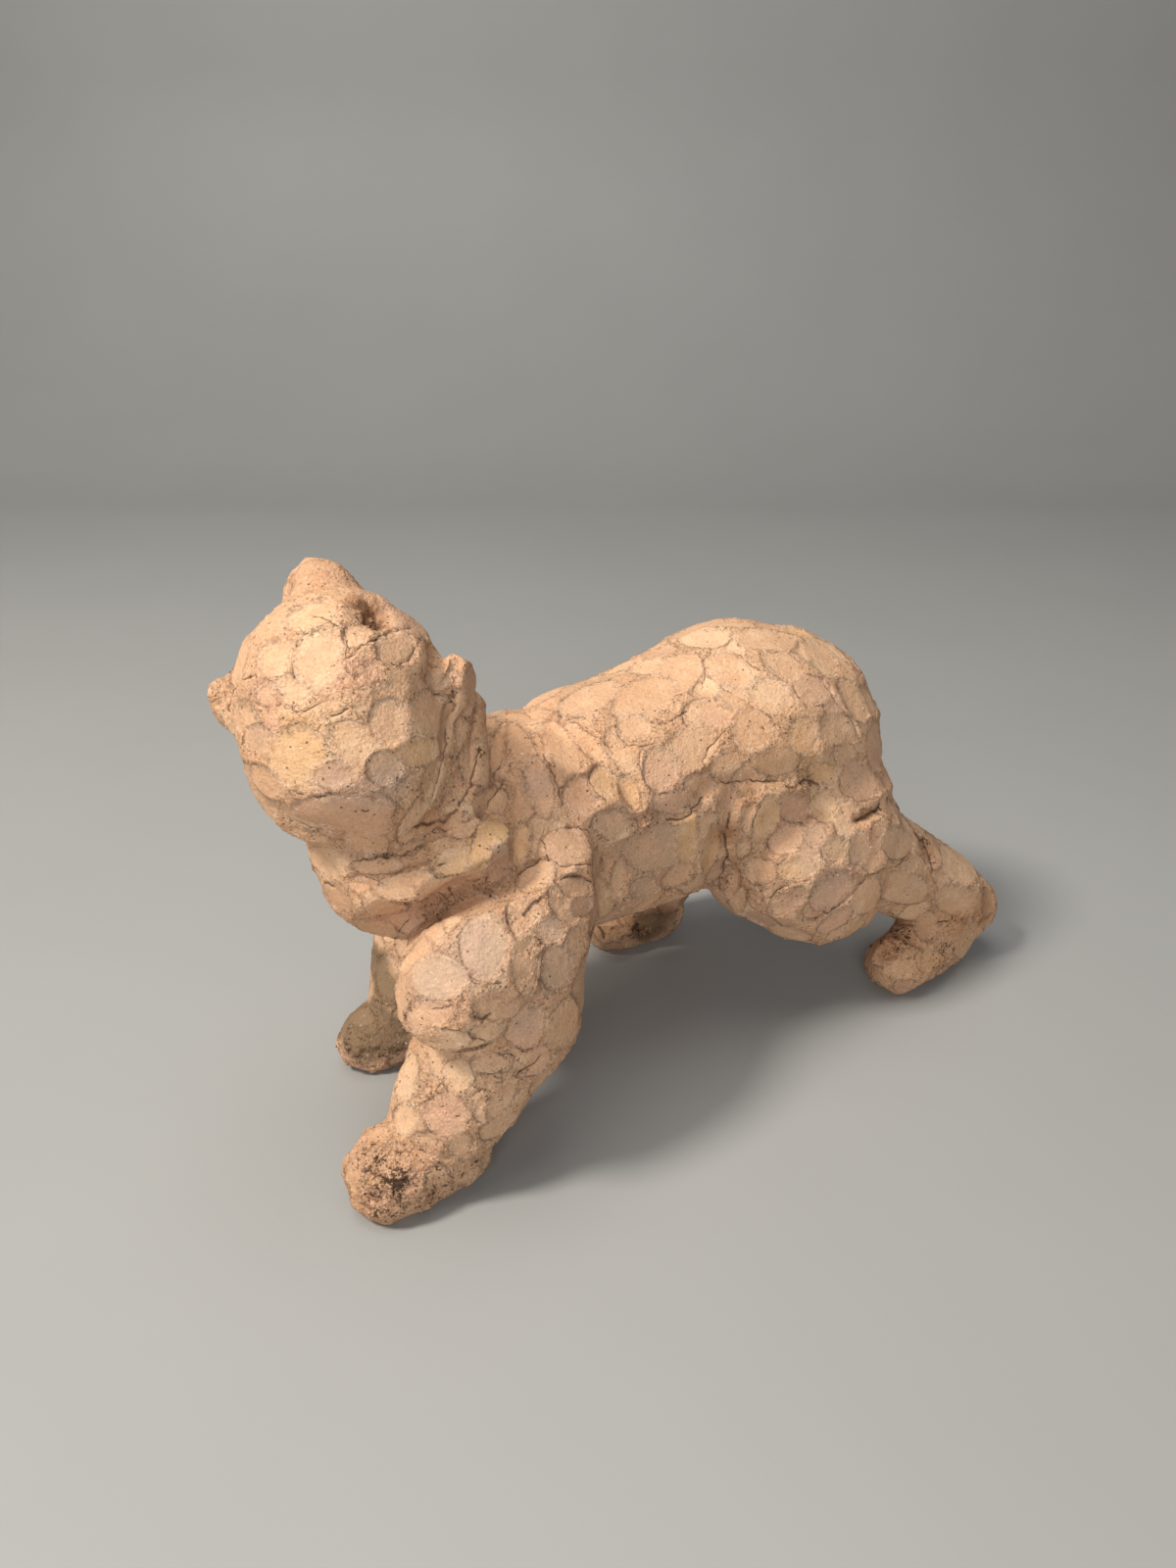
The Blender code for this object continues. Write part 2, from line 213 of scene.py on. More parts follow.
# the scoops that it does show
seenCut = {
    "around": 0.6,               # how much of the form one faces, in radii, and the least in shares
    "leastAround": 2.6,
    "leastFacing": 0.42,         # towards the camera
    "height": (0.15, 0.35),
    "plainLip": 0.65,
    "toneSpread": 0.02,
    "levelRadius": 7.5,          # wider ones follow the form more
    "clear": 0.95,               # a loose scoop stays this far from them, in their radii
    "bareRoom": 0.35,            # and this much of its own radius from the uncut places
}

# carving that the photograph shows, read at its own pixels: middle across and down, long and short
# half, turn of the long half and side of the raised lip in degrees clockwise (None for no lip), tint
carving = {
    "head": [
        (318, 628, 30, 14, -22, None, "light"), (283, 672, 22, 19, -30, None, "clay"),
        (326, 677, 30, 38, 0, 95, "light"), (299, 706, 22, 16, 10, 100, "light"),
        (273, 710, 14, 14, 0, 100, "pink"), (250, 735, 14, 20, -15, None, "clay"),
        (262, 755, 17, 16, 0, 190, "grey"), (270, 800, 24, 12, 50, None, "clay"),
        (350, 842, 58, 21, 6, None, "pink"), (305, 772, 36, 32, 20, None, "ochre"),
        (340, 790, 26, 14, -10, None, "pink"), (363, 760, 34, 25, 30, None, "light"),
        (398, 737, 24, 25, 0, None, "light"), (437, 730, 20, 27, 0, 80, "clay"),
        (428, 769, 24, 16, -10, 70, "ochre"), (392, 785, 20, 19, 0, 200, "grey"),
        (405, 661, 22, 20, 10, 90, "clay"), (362, 650, 13, 12, -30, 110, "clay"),
        (445, 695, 13, 16, 0, 100, "grey"),
    ],
    "collar": [
        (332, 880, 26, 15, 20, None, "light"), (384, 884, 28, 10, 0, 95, "light"),
        (375, 905, 24, 12, 15, 90, "pink"), (413, 905, 34, 14, -15, 60, "light"),
        (450, 908, 28, 11, -22, None, "clay"), (470, 879, 32, 15, -18, 100, "ochre"),
        (395, 930, 26, 9, 5, None, "clay"), (503, 848, 18, 38, 22, 200, "ochre"),
        (531, 860, 11, 24, 6, 10, "ochre"), (507, 884, 12, 24, 20, 20, "grey"),
    ],
    "mane": [
        (507, 765, 8, 34, 14, None, "clay"), (531, 758, 13, 30, -25, 0, "clay"),
        (549, 802, 15, 34, -14, 0, "grey"), (572, 760, 14, 34, -32, 350, "clay"),
        (596, 756, 10, 34, -42, None, "clay"), (592, 812, 22, 20, 20, None, "pink"),
        (612, 797, 13, 18, -10, 190, "ochre"), (641, 809, 9, 21, -24, 60, "ochre"),
        (625, 842, 22, 17, 10, None, "grey"), (577, 862, 26, 21, 8, 185, "pink"),
        (545, 893, 23, 14, -30, 210, "clay"), (585, 905, 18, 12, 30, 275, "pink"),
        (592, 925, 13, 12, 0, 90, "grey"), (612, 916, 11, 25, -20, 60, "ochre"),
        (629, 900, 8, 22, 8, None, "clay"),
    ],
    "back": [
        (716, 652, 30, 11, -3, 95, "light"), (688, 688, 32, 21, -30, 20, "clay"),
        (745, 684, 32, 20, 15, None, "clay"), (600, 712, 36, 14, -24, None, "clay"),
        (655, 714, 36, 24, -24, 60, "clay"), (645, 744, 20, 15, 10, 100, "clay"),
        (702, 765, 36, 22, -32, 30, "clay"), (671, 785, 20, 23, 0, 110, "pink"),
        (690, 820, 26, 14, -4, 75, "pink"), (782, 652, 34, 13, 5, None, "clay"),
        (835, 672, 26, 12, 50, None, "clay"), (785, 712, 26, 20, 20, 30, "light"),
        (825, 704, 23, 16, 10, None, "pink"), (766, 745, 25, 23, 0, 340, "clay"),
        (740, 780, 20, 14, -30, None, "clay"), (818, 752, 17, 21, 15, 20, "ochre"),
        (790, 779, 26, 16, -5, 70, "ochre"), (854, 745, 22, 19, 15, 60, "clay"),
        (868, 715, 12, 26, -30, None, "clay"), (890, 765, 11, 28, -2, None, "pink"),
        (871, 796, 20, 24, -20, 90, "pink"),
    ],
    "flank": [
        (671, 866, 40, 25, -12, None, "grey"), (700, 858, 12, 30, 8, None, "ochre"),
        (723, 872, 9, 30, 12, 340, "ochre"), (690, 895, 22, 11, -32, 60, "clay"),
        (655, 906, 15, 11, -20, None, "grey"), (745, 905, 8, 20, 10, None, "clay"),
    ],
    "thigh": [
        (836, 789, 16, 11, 10, None, "ochre"), (806, 825, 17, 15, 0, 90, "pink"),
        (838, 824, 16, 18, 0, 90, "ochre"), (861, 838, 14, 23, 8, 100, "clay"),
        (762, 835, 8, 20, 10, 0, "clay"), (779, 837, 13, 27, 22, None, "ochre"),
        (800, 858, 21, 15, -20, 150, "pink"), (829, 853, 13, 13, 0, 60, "clay"),
        (850, 866, 17, 14, -10, 100, "ochre"), (874, 866, 12, 20, 5, 80, "grey"),
        (757, 866, 8, 13, 15, 60, "clay"), (811, 887, 21, 15, -6, 60, "ochre"),
        (772, 890, 18, 15, 0, 90, "clay"), (752, 920, 7, 14, 10, 0, "clay"),
        (800, 922, 24, 12, -30, None, "pink"), (846, 912, 26, 17, -35, 120, "pink"),
        (882, 915, 15, 24, 28, 20, "clay"), (850, 940, 22, 9, -35, 60, "pink"),
        (893, 855, 9, 18, 5, None, "clay"),
    ],
    "hindLeg": [
        (912, 862, 18, 17, -15, 100, "light"), (918, 908, 28, 19, 10, 90, "clay"),
        (975, 880, 28, 17, 40, None, "light"), (975, 922, 28, 16, 15, None, "clay"),
        (985, 962, 18, 22, 30, None, "clay"), (935, 985, 32, 15, -14, None, "ochre"),
    ],
    "upperArm": [
        (480, 924, 26, 13, -12, None, "clay"), (441, 950, 11, 13, 0, 100, "clay"),
        (492, 966, 27, 38, 5, 95, "grey"), (445, 996, 35, 25, 5, 110, "grey"),
        (505, 1030, 26, 12, 10, None, "clay"), (560, 948, 17, 16, 0, 60, "grey"),
        (584, 962, 10, 18, 10, None, "clay"), (566, 988, 17, 24, 10, 150, "grey"),
        (535, 985, 14, 34, 0, None, "clay"), (596, 1005, 12, 38, 14, None, "clay"),
        (535, 1047, 21, 26, 18, 100, "pink"), (575, 1045, 16, 30, 20, None, "clay"),
    ],
    "forearm": [
        (452, 1062, 30, 12, 4, 270, "light"), (500, 1085, 24, 12, -10, None, "light"),
        (415, 1100, 12, 28, 12, None, "light"), (465, 1098, 18, 20, 0, None, "light"),
        (455, 1138, 26, 24, 0, 90, "pink"), (412, 1140, 14, 18, 0, None, "light"),
        (492, 1128, 12, 18, 12, 20, "clay"), (512, 1118, 12, 30, 30, None, "clay"),
        (470, 1168, 14, 14, 0, None, "clay"), (475, 1195, 20, 12, -30, None, "clay"),
        (430, 1162, 14, 9, 0, None, "clay"),
    ],
}

# how the cracks run: stray and step in pixels, the rest in shares of the typed size
crackLine = {
    "seed": 5,
    "step": 3.5,
    "stray": 0.8,
    "gap": 5,                    # a jump this long, in shares of the form, parts a crack in two
    "width": 0.62,
    "depth": 0.6,
    "felt": 4.0,                 # in widths
}
# cracks, slits and pits in the same pixels: width and depth in shares, points across and down
cracks = {
    "browSlit": (0.7, 1.4, [(321, 630), (332, 632), (346, 641)]),
    "browFork": (0.5, 0.8, [(348, 637), (353, 650), (354, 668), (352, 675)]),
    "browLine": (0.45, 0.6, [(306, 643), (312, 649), (330, 645), (345, 640)]),
    "eyeRight": (0.5, 0.9, [(394, 648), (400, 643), (421, 641)]),
    "eyeDown": (0.7, 1.3, [(389, 648), (378, 657), (368, 660), (364, 669), (352, 674)]),
    "eyeRim": (0.9, 1.2, [(379, 628), (388, 622), (394, 627)]),
    "templeArc": (0.5, 0.9, [(400, 679), (406, 680), (411, 676)]),
    "temple": (0.5, 0.8, [(438, 645), (428, 655), (421, 667), (416, 678)]),
    "earArc": (0.5, 0.9, [(434, 704), (445, 709), (458, 710)]),
    "crown": (0.5, 0.9, [(272, 722), (285, 721), (292, 720), (303, 727), (312, 728), (326, 721),
                         (338, 712)]),
    "crownSlit": (0.7, 1.2, [(338, 732), (347, 729), (355, 724)]),
    "leftCheek": (0.5, 0.9, [(242, 742), (243, 757), (250, 768), (262, 782)]),
    "leftEar": (0.8, 1.3, [(234, 728), (240, 705), (244, 697), (252, 695), (262, 690)]),
    "leftEarRoot": (0.6, 0.8, [(246, 690), (250, 676), (254, 664)]),
    "jawLeft": (0.6, 1.0, [(298, 842), (318, 848), (335, 854), (352, 861)]),
    "jawSlitA": (0.8, 1.2, [(320, 812), (331, 811)]),
    "jawSlitB": (0.8, 1.2, [(370, 828), (376, 827)]),
    "jawSlitC": (0.6, 1.0, [(302, 808), (312, 811)]),
    "underJaw": (1.0, 1.6, [(360, 879), (380, 877), (405, 872), (430, 860), (455, 845)]),
    "underJawDeep": (1.5, 2.2, [(420, 850), (432, 845), (450, 838), (465, 826)]),
    "collarRim": (0.5, 0.9, [(358, 890), (372, 896), (385, 899), (400, 894), (412, 884)]),
    "collarSlit": (1.2, 1.8, [(326, 898), (335, 901), (342, 905)]),
    "collarScoopSlit": (1.1, 1.5, [(448, 884), (455, 879), (463, 877)]),
    "collarEdge": (0.6, 1.0, [(440, 893), (450, 897), (465, 898), (482, 888)]),
    "collarBreak": (0.8, 1.3, [(481, 853), (486, 836), (500, 815), (510, 802), (521, 790)]),
    "collarBreakTop": (0.9, 1.4, [(500, 800), (507, 783), (512, 772)]),
    "chestCrease": (0.7, 1.0, [(406, 952), (425, 930), (450, 922), (475, 907), (500, 903)]),
    "maneTop": (0.6, 1.0, [(517, 734), (530, 742), (540, 752), (546, 760)]),
    "maneTopB": (0.6, 1.0, [(530, 725), (540, 733), (556, 730), (563, 728)]),
    "maneTopC": (0.6, 1.1, [(566, 728), (580, 735), (596, 745), (612, 756), (624, 770)]),
    "maneLine": (0.8, 1.2, [(553, 770), (562, 790), (570, 810), (573, 825)]),
    "manePit": (1.1, 1.8, [(562, 783), (564, 784)]),
    "maneShort": (0.7, 1.1, [(604, 786), (600, 796), (607, 808), (616, 818)]),
    "maneRound": (0.6, 1.0, [(553, 845), (550, 860), (556, 876), (572, 884), (600, 883)]),
    "roundTop": (0.9, 1.3, [(579, 844), (590, 847), (600, 852)]),
    "armpitEdge": (0.9, 1.5, [(527, 894), (534, 885), (546, 878)]),
    "armpitScoop": (0.8, 1.2, [(570, 897), (580, 893), (592, 895), (600, 900)]),
    "armpit": (1.4, 2.2, [(606, 943), (612, 948), (616, 958)]),
    "backTop": (0.45, 0.8, [(683, 655), (692, 661), (706, 662), (717, 665), (730, 662), (742, 656)]),
    "backSide": (0.45, 0.8, [(710, 668), (717, 680), (717, 692), (714, 702)]),
    "backRough": (0.7, 1.2, [(746, 668), (754, 669), (760, 674), (766, 680), (776, 686)]),
    "backMiddle": (0.45, 0.8, [(735, 702), (748, 710), (758, 716), (767, 723)]),
    "backArc": (0.45, 0.8, [(697, 727), (690, 733), (680, 740), (668, 742)]),
    "backArcB": (0.6, 1.0, [(630, 752), (640, 761), (655, 762), (668, 759)]),
    "backArcC": (0.6, 1.0, [(652, 766), (650, 778), (652, 790)]),
    "backArcD": (0.5, 0.9, [(660, 806), (668, 811), (680, 808)]),
    "rumpArc": (0.6, 1.0, [(742, 742), (732, 752), (722, 763), (717, 775), (716, 790)]),
    "rumpLine": (0.5, 0.8, [(806, 700), (812, 712), (820, 722)]),
    "rumpLineB": (0.6, 0.9, [(838, 700), (850, 718), (860, 730), (870, 742), (872, 752)]),
    "rumpScoop": (0.6, 1.0, [(818, 783), (810, 792), (795, 797), (772, 798)]),
    "flankDark": (1.3, 1.8, [(800, 803), (815, 799), (822, 796), (832, 801)]),
    "flankLine": (0.8, 1.2, [(735, 800), (760, 798), (790, 797)]),
    "bellyEdge": (0.9, 1.4, [(677, 836), (690, 837), (700, 832), (707, 824), (716, 814)]),
    "waistCrack": (1.2, 1.8, [(741, 830), (738, 850), (740, 870), (735, 893), (728, 912)]),
    "waistLine": (0.8, 1.2, [(774, 818), (768, 838), (764, 856)]),
    "thighLine": (0.6, 1.0, [(757, 881), (768, 876), (780, 878)]),
    "thighSlit": (0.8, 1.2, [(782, 918), (790, 910), (800, 905)]),
    "thighPit": (0.8, 1.2, [(858, 829), (859, 830)]),
    "rumpPit": (0.9, 1.4, [(776, 744), (778, 745)]),
    "roundPit": (0.8, 1.2, [(578, 863), (579, 864)]),
    "crownPit": (0.7, 1.1, [(336, 624), (337, 625)]),
    "crownPitB": (0.6, 0.9, [(310, 623), (312, 623)]),
    "tailNotch": (1.8, 2.6, [(876, 838), (885, 834), (895, 826), (904, 812)]),
    "hockTop": (0.7, 1.2, [(885, 894), (900, 888), (915, 880), (928, 871)]),
    "shankLow": (0.9, 1.4, [(838, 933), (855, 923), (868, 912), (880, 898)]),
    "hockCrevice": (1.8, 2.4, [(931, 850), (940, 862), (946, 876), (949, 890)]),
    "heelSlit": (0.9, 1.5, [(952, 941), (965, 938), (978, 933)]),
    "armArc": (0.5, 0.9, [(480, 1001), (492, 1004), (510, 1003)]),
    "elbowSlit": (1.2, 1.8, [(483, 1035), (490, 1039), (500, 1035)]),
    "elbowSlitB": (0.9, 1.4, [(476, 1052), (484, 1060), (494, 1062)]),
    "elbowLine": (0.7, 1.2, [(488, 1067), (500, 1073), (512, 1075), (522, 1079)]),
    "elbowStreak": (0.8, 1.0, [(438, 1030), (450, 1028), (462, 1025)]),
    "forearmRing": (0.5, 0.9, [(423, 1121), (430, 1125), (440, 1119), (446, 1106), (452, 1097)]),
    "forearmLine": (0.5, 0.9, [(480, 1120), (488, 1113), (496, 1108)]),
    "forearmPit": (1.1, 1.6, [(466, 1138), (467, 1139)]),
    "armSpecks": (1.0, 1.4, [(524, 1098), (535, 1092), (545, 1085), (552, 1076)]),
    "cheekEdge": (0.8, 1.4, [(459, 702), (458, 730), (456, 760), (448, 795), (441, 815)]),
    "cheekBack": (0.9, 1.6, [(490, 768), (479, 794), (468, 822)]),
    "wristLine": (0.8, 1.2, [(405, 1174), (425, 1172), (440, 1178), (455, 1182)]),
    "pawCrack": (1.0, 1.2, [(384, 1198), (400, 1203), (415, 1202)]),
}

# places that the tool left alone: across, down, radius in pixels
uncut = [
    (330, 590, 40), (225, 698, 16), (468, 690, 12), (480, 750, 14), (376, 628, 20), (362, 690, 16),
    (655, 843, 12),
]

# stains, crumbly places and painted shade in the same pixels: middle across and down, radius, strength
stainsAndShade = {
    # dark: real dirt on the paws and in the eye, and painted shade in crevices, on the shaded side of the
    # near hind paw and on the far paws under the body
    "dark": [
        (383, 622, 13, 0.6), (374, 612, 14, 0.5), (387, 645, 9, 0.6), (372, 640, 10, 0.3),
        (405, 826, 5, 0.7), (240, 705, 5, 0.8), (494, 770, 9, 0.9), (470, 815, 8, 0.7),
        (512, 800, 5, 0.8), (662, 846, 6, 0.6), (738, 885, 8, 0.8), (732, 905, 6, 0.7),
        (822, 797, 9, 0.8), (802, 802, 9, 0.6), (785, 803, 6, 0.4), (897, 824, 9, 1.0),
        (905, 812, 6, 0.9), (940, 858, 7, 0.9), (948, 878, 7, 0.9), (962, 938, 8, 0.6),
        (984, 962, 6, 0.6), (945, 985, 6, 0.5), (980, 985, 6, 0.6), (915, 952, 14, 0.8),
        (745, 668, 4, 0.5), (562, 784, 5, 0.8), (490, 1037, 6, 0.8), (450, 1027, 7, 0.3),
        (430, 1108, 5, 0.4), (455, 1085, 7, 0.5), (535, 1092, 7, 0.8), (515, 1145, 4, 0.7),
        (566, 1070, 4, 0.8), (405, 1202, 17, 0.9), (375, 1190, 10, 0.7), (372, 1210, 6, 0.6),
        (410, 1185, 10, 0.6), (435, 1198, 6, 0.8), (390, 1157, 4, 0.6), (400, 1235, 12, 0.5),
        (422, 1228, 7, 0.6), (460, 1212, 6, 0.7), (485, 1183, 7, 0.8), (385, 1020, 9, 0.7),
        (412, 1035, 10, 0.8), (400, 1075, 14, 0.6), (370, 1075, 9, 0.5), (650, 950, 14, 0.7),
        (396, 1222, 34, 0.55), (440, 1222, 24, 0.5), (378, 1172, 16, 0.45), (478, 1196, 18, 0.5),
        (905, 948, 16, 0.8), (918, 958, 12, 0.8), (355, 1070, 18, 0.55), (395, 1095, 16, 0.6),
        (372, 628, 18, 0.5), (387, 630, 15, 0.6), (450, 1190, 14, 0.45), (400, 1215, 26, 0.5),
        (380, 1185, 18, 0.6), (910, 960, 20, 0.5), (960, 975, 22, 0.5),
    ],
    "pink": [
        (365, 693, 26, 1.0), (280, 738, 15, 0.8), (450, 772, 14, 0.6), (470, 852, 10, 0.7),
        (720, 652, 24, 0.5), (400, 982, 8, 1.0), (455, 1130, 20, 0.7),
    ],
    "rough": [
        (362, 690, 24, 0.6), (262, 714, 12, 0.5), (415, 824, 14, 1.0), (225, 700, 16, 1.0),
        (466, 740, 14, 0.8), (455, 672, 8, 0.7), (410, 800, 14, 0.5), (505, 795, 14, 0.7),
        (560, 840, 14, 0.4), (655, 843, 16, 1.0), (600, 745, 20, 0.4), (742, 850, 13, 1.0),
        (810, 800, 16, 0.8), (940, 865, 12, 0.9), (985, 950, 24, 0.6), (950, 990, 26, 0.6),
        (750, 670, 8, 0.6), (520, 925, 22, 0.6), (545, 965, 22, 0.5), (405, 985, 10, 0.8),
        (430, 1105, 14, 1.0), (530, 1100, 16, 0.6), (400, 1200, 40, 1.0), (440, 1175, 16, 0.7),
        (375, 1085, 20, 0.8), (378, 625, 24, 1.0), (500, 745, 12, 0.7), (520, 738, 12, 0.6),
        (545, 755, 12, 0.6), (560, 730, 12, 0.5), (620, 752, 14, 0.6), (650, 765, 12, 0.6),
        (716, 795, 12, 0.6), (610, 880, 14, 0.5), (555, 915, 18, 0.7), (540, 1000, 18, 0.5),
        (515, 920, 14, 0.7), (738, 880, 14, 0.9), (735, 905, 14, 0.9), (762, 812, 12, 0.8),
        (800, 905, 18, 0.5), (770, 910, 16, 0.6), (865, 890, 10, 0.4), (830, 935, 14, 0.4),
        (320, 898, 14, 0.6), (480, 845, 12, 0.5), (440, 920, 12, 0.5), (390, 870, 12, 0.5),
        (470, 1030, 16, 0.5), (440, 1060, 18, 0.5), (460, 1120, 26, 0.5), (500, 1110, 22, 0.6),
        (385, 1215, 36, 1.0), (440, 1205, 26, 0.9), (480, 1180, 20, 0.8), (925, 990, 24, 0.8),
    ],
    "ochre": [
        (305, 775, 34, 0.7), (505, 845, 20, 0.9), (475, 880, 20, 0.7), (838, 790, 16, 0.7),
    ],
    "mauve": [
        (300, 780, 30, 0.4), (345, 805, 26, 0.7), (400, 800, 26, 0.9), (372, 808, 24, 0.8),
        (262, 752, 15, 0.6), (405, 850, 16, 0.6), (462, 690, 10, 0.7), (455, 855, 14, 0.5),
        (548, 800, 22, 0.7), (870, 790, 18, 0.5), (892, 770, 14, 0.5), (874, 866, 12, 0.5),
        (850, 925, 20, 0.5), (930, 905, 18, 0.5), (560, 945, 16, 0.7), (520, 930, 14, 0.5),
        (595, 1005, 22, 0.5), (535, 1045, 20, 0.7), (410, 1110, 14, 0.5), (480, 970, 42, 0.9),
        (440, 1000, 30, 0.8), (840, 880, 52, 0.6), (415, 1115, 16, 0.5), (550, 1010, 30, 0.4),
        (430, 1095, 20, 0.5),
    ],
    "rust": [
        (350, 838, 40, 0.5), (400, 835, 22, 0.5), (425, 806, 12, 0.7), (230, 706, 12, 0.6),
        (492, 740, 16, 0.6), (440, 840, 22, 0.7), (395, 935, 24, 0.4), (735, 850, 20, 0.8),
        (760, 815, 18, 0.6), (942, 868, 14, 1.0), (1000, 925, 22, 0.8), (975, 945, 20, 0.6),
        (925, 985, 30, 0.3), (900, 960, 22, 0.8), (455, 1038, 22, 0.4), (395, 1195, 30, 0.25),
        # the rust at 665, 940 is painted shade of the far hind foot under the belly
        (450, 1215, 24, 0.25), (665, 940, 30, 1.0), (372, 618, 24, 0.8),
    ],
    # olive: a dark stain on the far paws that also stands as painted shade where the body shades them
    "olive": [
        (375, 1050, 34, 1.0), (385, 985, 24, 0.9), (665, 945, 34, 0.7), (360, 1040, 26, 1.0),
        (400, 1055, 22, 1.0), (395, 1010, 22, 1.0),
    ],
}


def ball(mesh, x, y, z, radius):
    place = Matrix.Translation(Vector((x, y, z)) * share)
    bmesh.ops.create_icosphere(mesh, subdivisions=3, radius=radius * share, matrix=place)


def lump(whole, balls):
    # the skin stretched around a few balls
    part = bmesh.new()
    for x, y, z, radius in balls:
        ball(part, x, y, z, radius)
    hull = bmesh.ops.convex_hull(part, input=part.verts)
    inner = [item for item in hull["geom_interior"] if isinstance(item, bmesh.types.BMVert)]
    bmesh.ops.delete(part, geom=inner, context="VERTS")
    skin = bpy.data.meshes.new("lump")
    part.to_mesh(skin)
    part.free()
    whole.from_mesh(skin)
    bpy.data.meshes.remove(skin)


def evaluatedMesh(mesh, *modifiers):
    # a plain mesh with the given modifiers' work in it
    helper = bpy.data.objects.new("helper", mesh)
    bpy.context.scene.collection.objects.link(helper)
    for kind, settings in modifiers:
        modifier = helper.modifiers.new(kind.lower(), kind)
        for name, value in settings.items():
            setattr(modifier, name, value)
    evaluated = helper.evaluated_get(bpy.context.evaluated_depsgraph_get())
    made = bpy.data.meshes.new_from_object(evaluated, preserve_all_data_layers=True,
                                           depsgraph=bpy.context.evaluated_depsgraph_get())
    bpy.data.objects.remove(helper)
    return made


def modelledForm(grain):
    # the lumps pressed together and smoothed into one body, before any cut
    whole = bmesh.new()
    for balls in lumps.values():
        lump(whole, balls)
    mesh = bpy.data.meshes.new("lumps")
    whole.to_mesh(mesh)
    whole.free()
    rounds = round(form["smoothing"] * (form["grain"] / grain) ** 2)
    made = evaluatedMesh(
        mesh,
        ("REMESH", {"mode": "VOXEL", "voxel_size": grain * share}),
        ("SMOOTH", {"factor": 0.5, "iterations": rounds}),
    )
    points = readPoints(made)
    writePoints(made, points - readNormals(made) * pressedDepth(points, allFolds())[:, None])
    return made


def readPoints(mesh):
    values = np.empty(len(mesh.vertices) * 3)
    mesh.vertices.foreach_get("co", values)
    return values.reshape(-1, 3)


def readNormals(mesh):
    values = np.empty(len(mesh.vertices) * 3)
    mesh.vertex_normals.foreach_get("vector", values)
    return values.reshape(-1, 3)


def writePoints(mesh, points):
    mesh.vertices.foreach_set("co", points.ravel())
    mesh.update()


def lineDistance(points, line):
    # each point's distance to a line through a few points
    nearest = np.full(len(points), np.inf)
    starts = line[:-1] if len(line) > 1 else line
    ends = line[1:] if len(line) > 1 else line
    for start, end in zip(starts, ends):
        along = end - start
        length = max(float(along @ along), 1e-12)
        reached = np.clip((points - start) @ along / length, 0.0, 1.0)
        foot = start + reached[:, None] * along
        nearest = np.minimum(nearest, np.linalg.norm(points - foot, axis=1))
    return nearest


def headAxes():
    forward = Vector(head["forward"]).normalized()
    crown = forward.cross(Vector(head["left"])).normalized()
    return np.array([forward, crown.cross(forward), crown])


def allFolds():
    made = []
    for name, (width, depth, line) in folds.items():
        rows = np.array(line, dtype=float)
        made.append((width, depth, rows))
        if name in mirroredFolds:
            made.append((width, depth, rows * (1, -1, 1)))
    return made


def allGouges():
    made = [(width, depth, np.array(line, dtype=float)) for width, depth, line in gouges.values()]
    for width, depth, line in head["dents"].values():
        for side in (-1, 1):
            rows = np.array(line, dtype=float) * (1, side, 1)
            made.append((width, depth, np.array(head["middle"]) + rows @ headAxes()))
    return made


def pressedDepth(points, lines):
    # how deep the lines press each point in
    pressed = np.zeros(len(points))
    for width, depth, line in lines:
        near = np.exp(-(lineDistance(points, line * share) / (width * share)) ** 2)
        pressed = np.maximum(pressed, depth * share * near)
    return pressed


def clayNoise(points, size, seed):
    # smooth random values from -1 to 1, with blobs about this many shares across
    cells = 32
    grid = np.random.RandomState(seed).uniform(-1, 1, (cells, cells, cells))
    spot = points / (size * share)
    cell = np.floor(spot).astype(int)
    inside = spot - cell
    inside = inside * inside * (3 - 2 * inside)
    total = np.zeros(len(points))
    for corner in range(8):
        step = np.array([corner & 1, corner >> 1 & 1, corner >> 2 & 1])
        weight = np.where(step == 1, inside, 1 - inside).prod(axis=1)
        x, y, z = ((cell + step) % cells).T
        total += weight * grid[x, y, z]
    return total


# a mean, then the amount, blob size in shares and seed of each layer on it
clayBlobs = {
    "outline": (0.0, (0.085, 6, 21), (0.050, 2.2, 22)),
    "burr": (0.5, (0.5, 3, 31)),
    "crumbly": (0.0, (1.0, 3.4, 41), (0.8, 1.7, 42), (0.5, 1.0, 43)),
    "broken": (0.6, (0.4, 14, 44)),
    "creased": (0.6, (0.8, 11, 45)),
    "ring": (0.55, (0.45, 9, 51)),
    "cracked": (0.75, (0.25, 2.5, 61)),
    "gouged": (0.85, (0.4, 2.6, 62)),
}


def blobs(points, name):
    mean, *layers = clayBlobs[name]
    return mean + sum(amount * clayNoise(points, size, seed) for amount, size, seed in layers)


def scoopWidthAt(place):
    width = tool["width"] * share
    for middle, radius, part in tool["zones"].values():
        if (place - Vector(middle) * share).length < radius * share:
            width = tool["width"] * share * part
    return width


def scoopPlaces(points):
    # places picked at random but never too close together
    tree = kdtree.KDTree(len(points))
    for index, point in enumerate(points):
        tree.insert(point, index)
    tree.balance()
    chance = random.Random(tool["seed"])
    low = points.min(axis=0)
    high = points.max(axis=0)
    places = []
    for _ in range(looseScoops["tries"]):
        tried = Vector([chance.uniform(low[axis], high[axis]) for axis in range(3)])
        room = chance.uniform(*looseScoops["room"])
        found, _, distance = tree.find(tried)
        if distance > looseScoops["offForm"] * share:
            continue
        width = scoopWidthAt(found)
        if all((found - other).length > room * width for other, _ in places):
            places.append((found, width))
    return places, tree


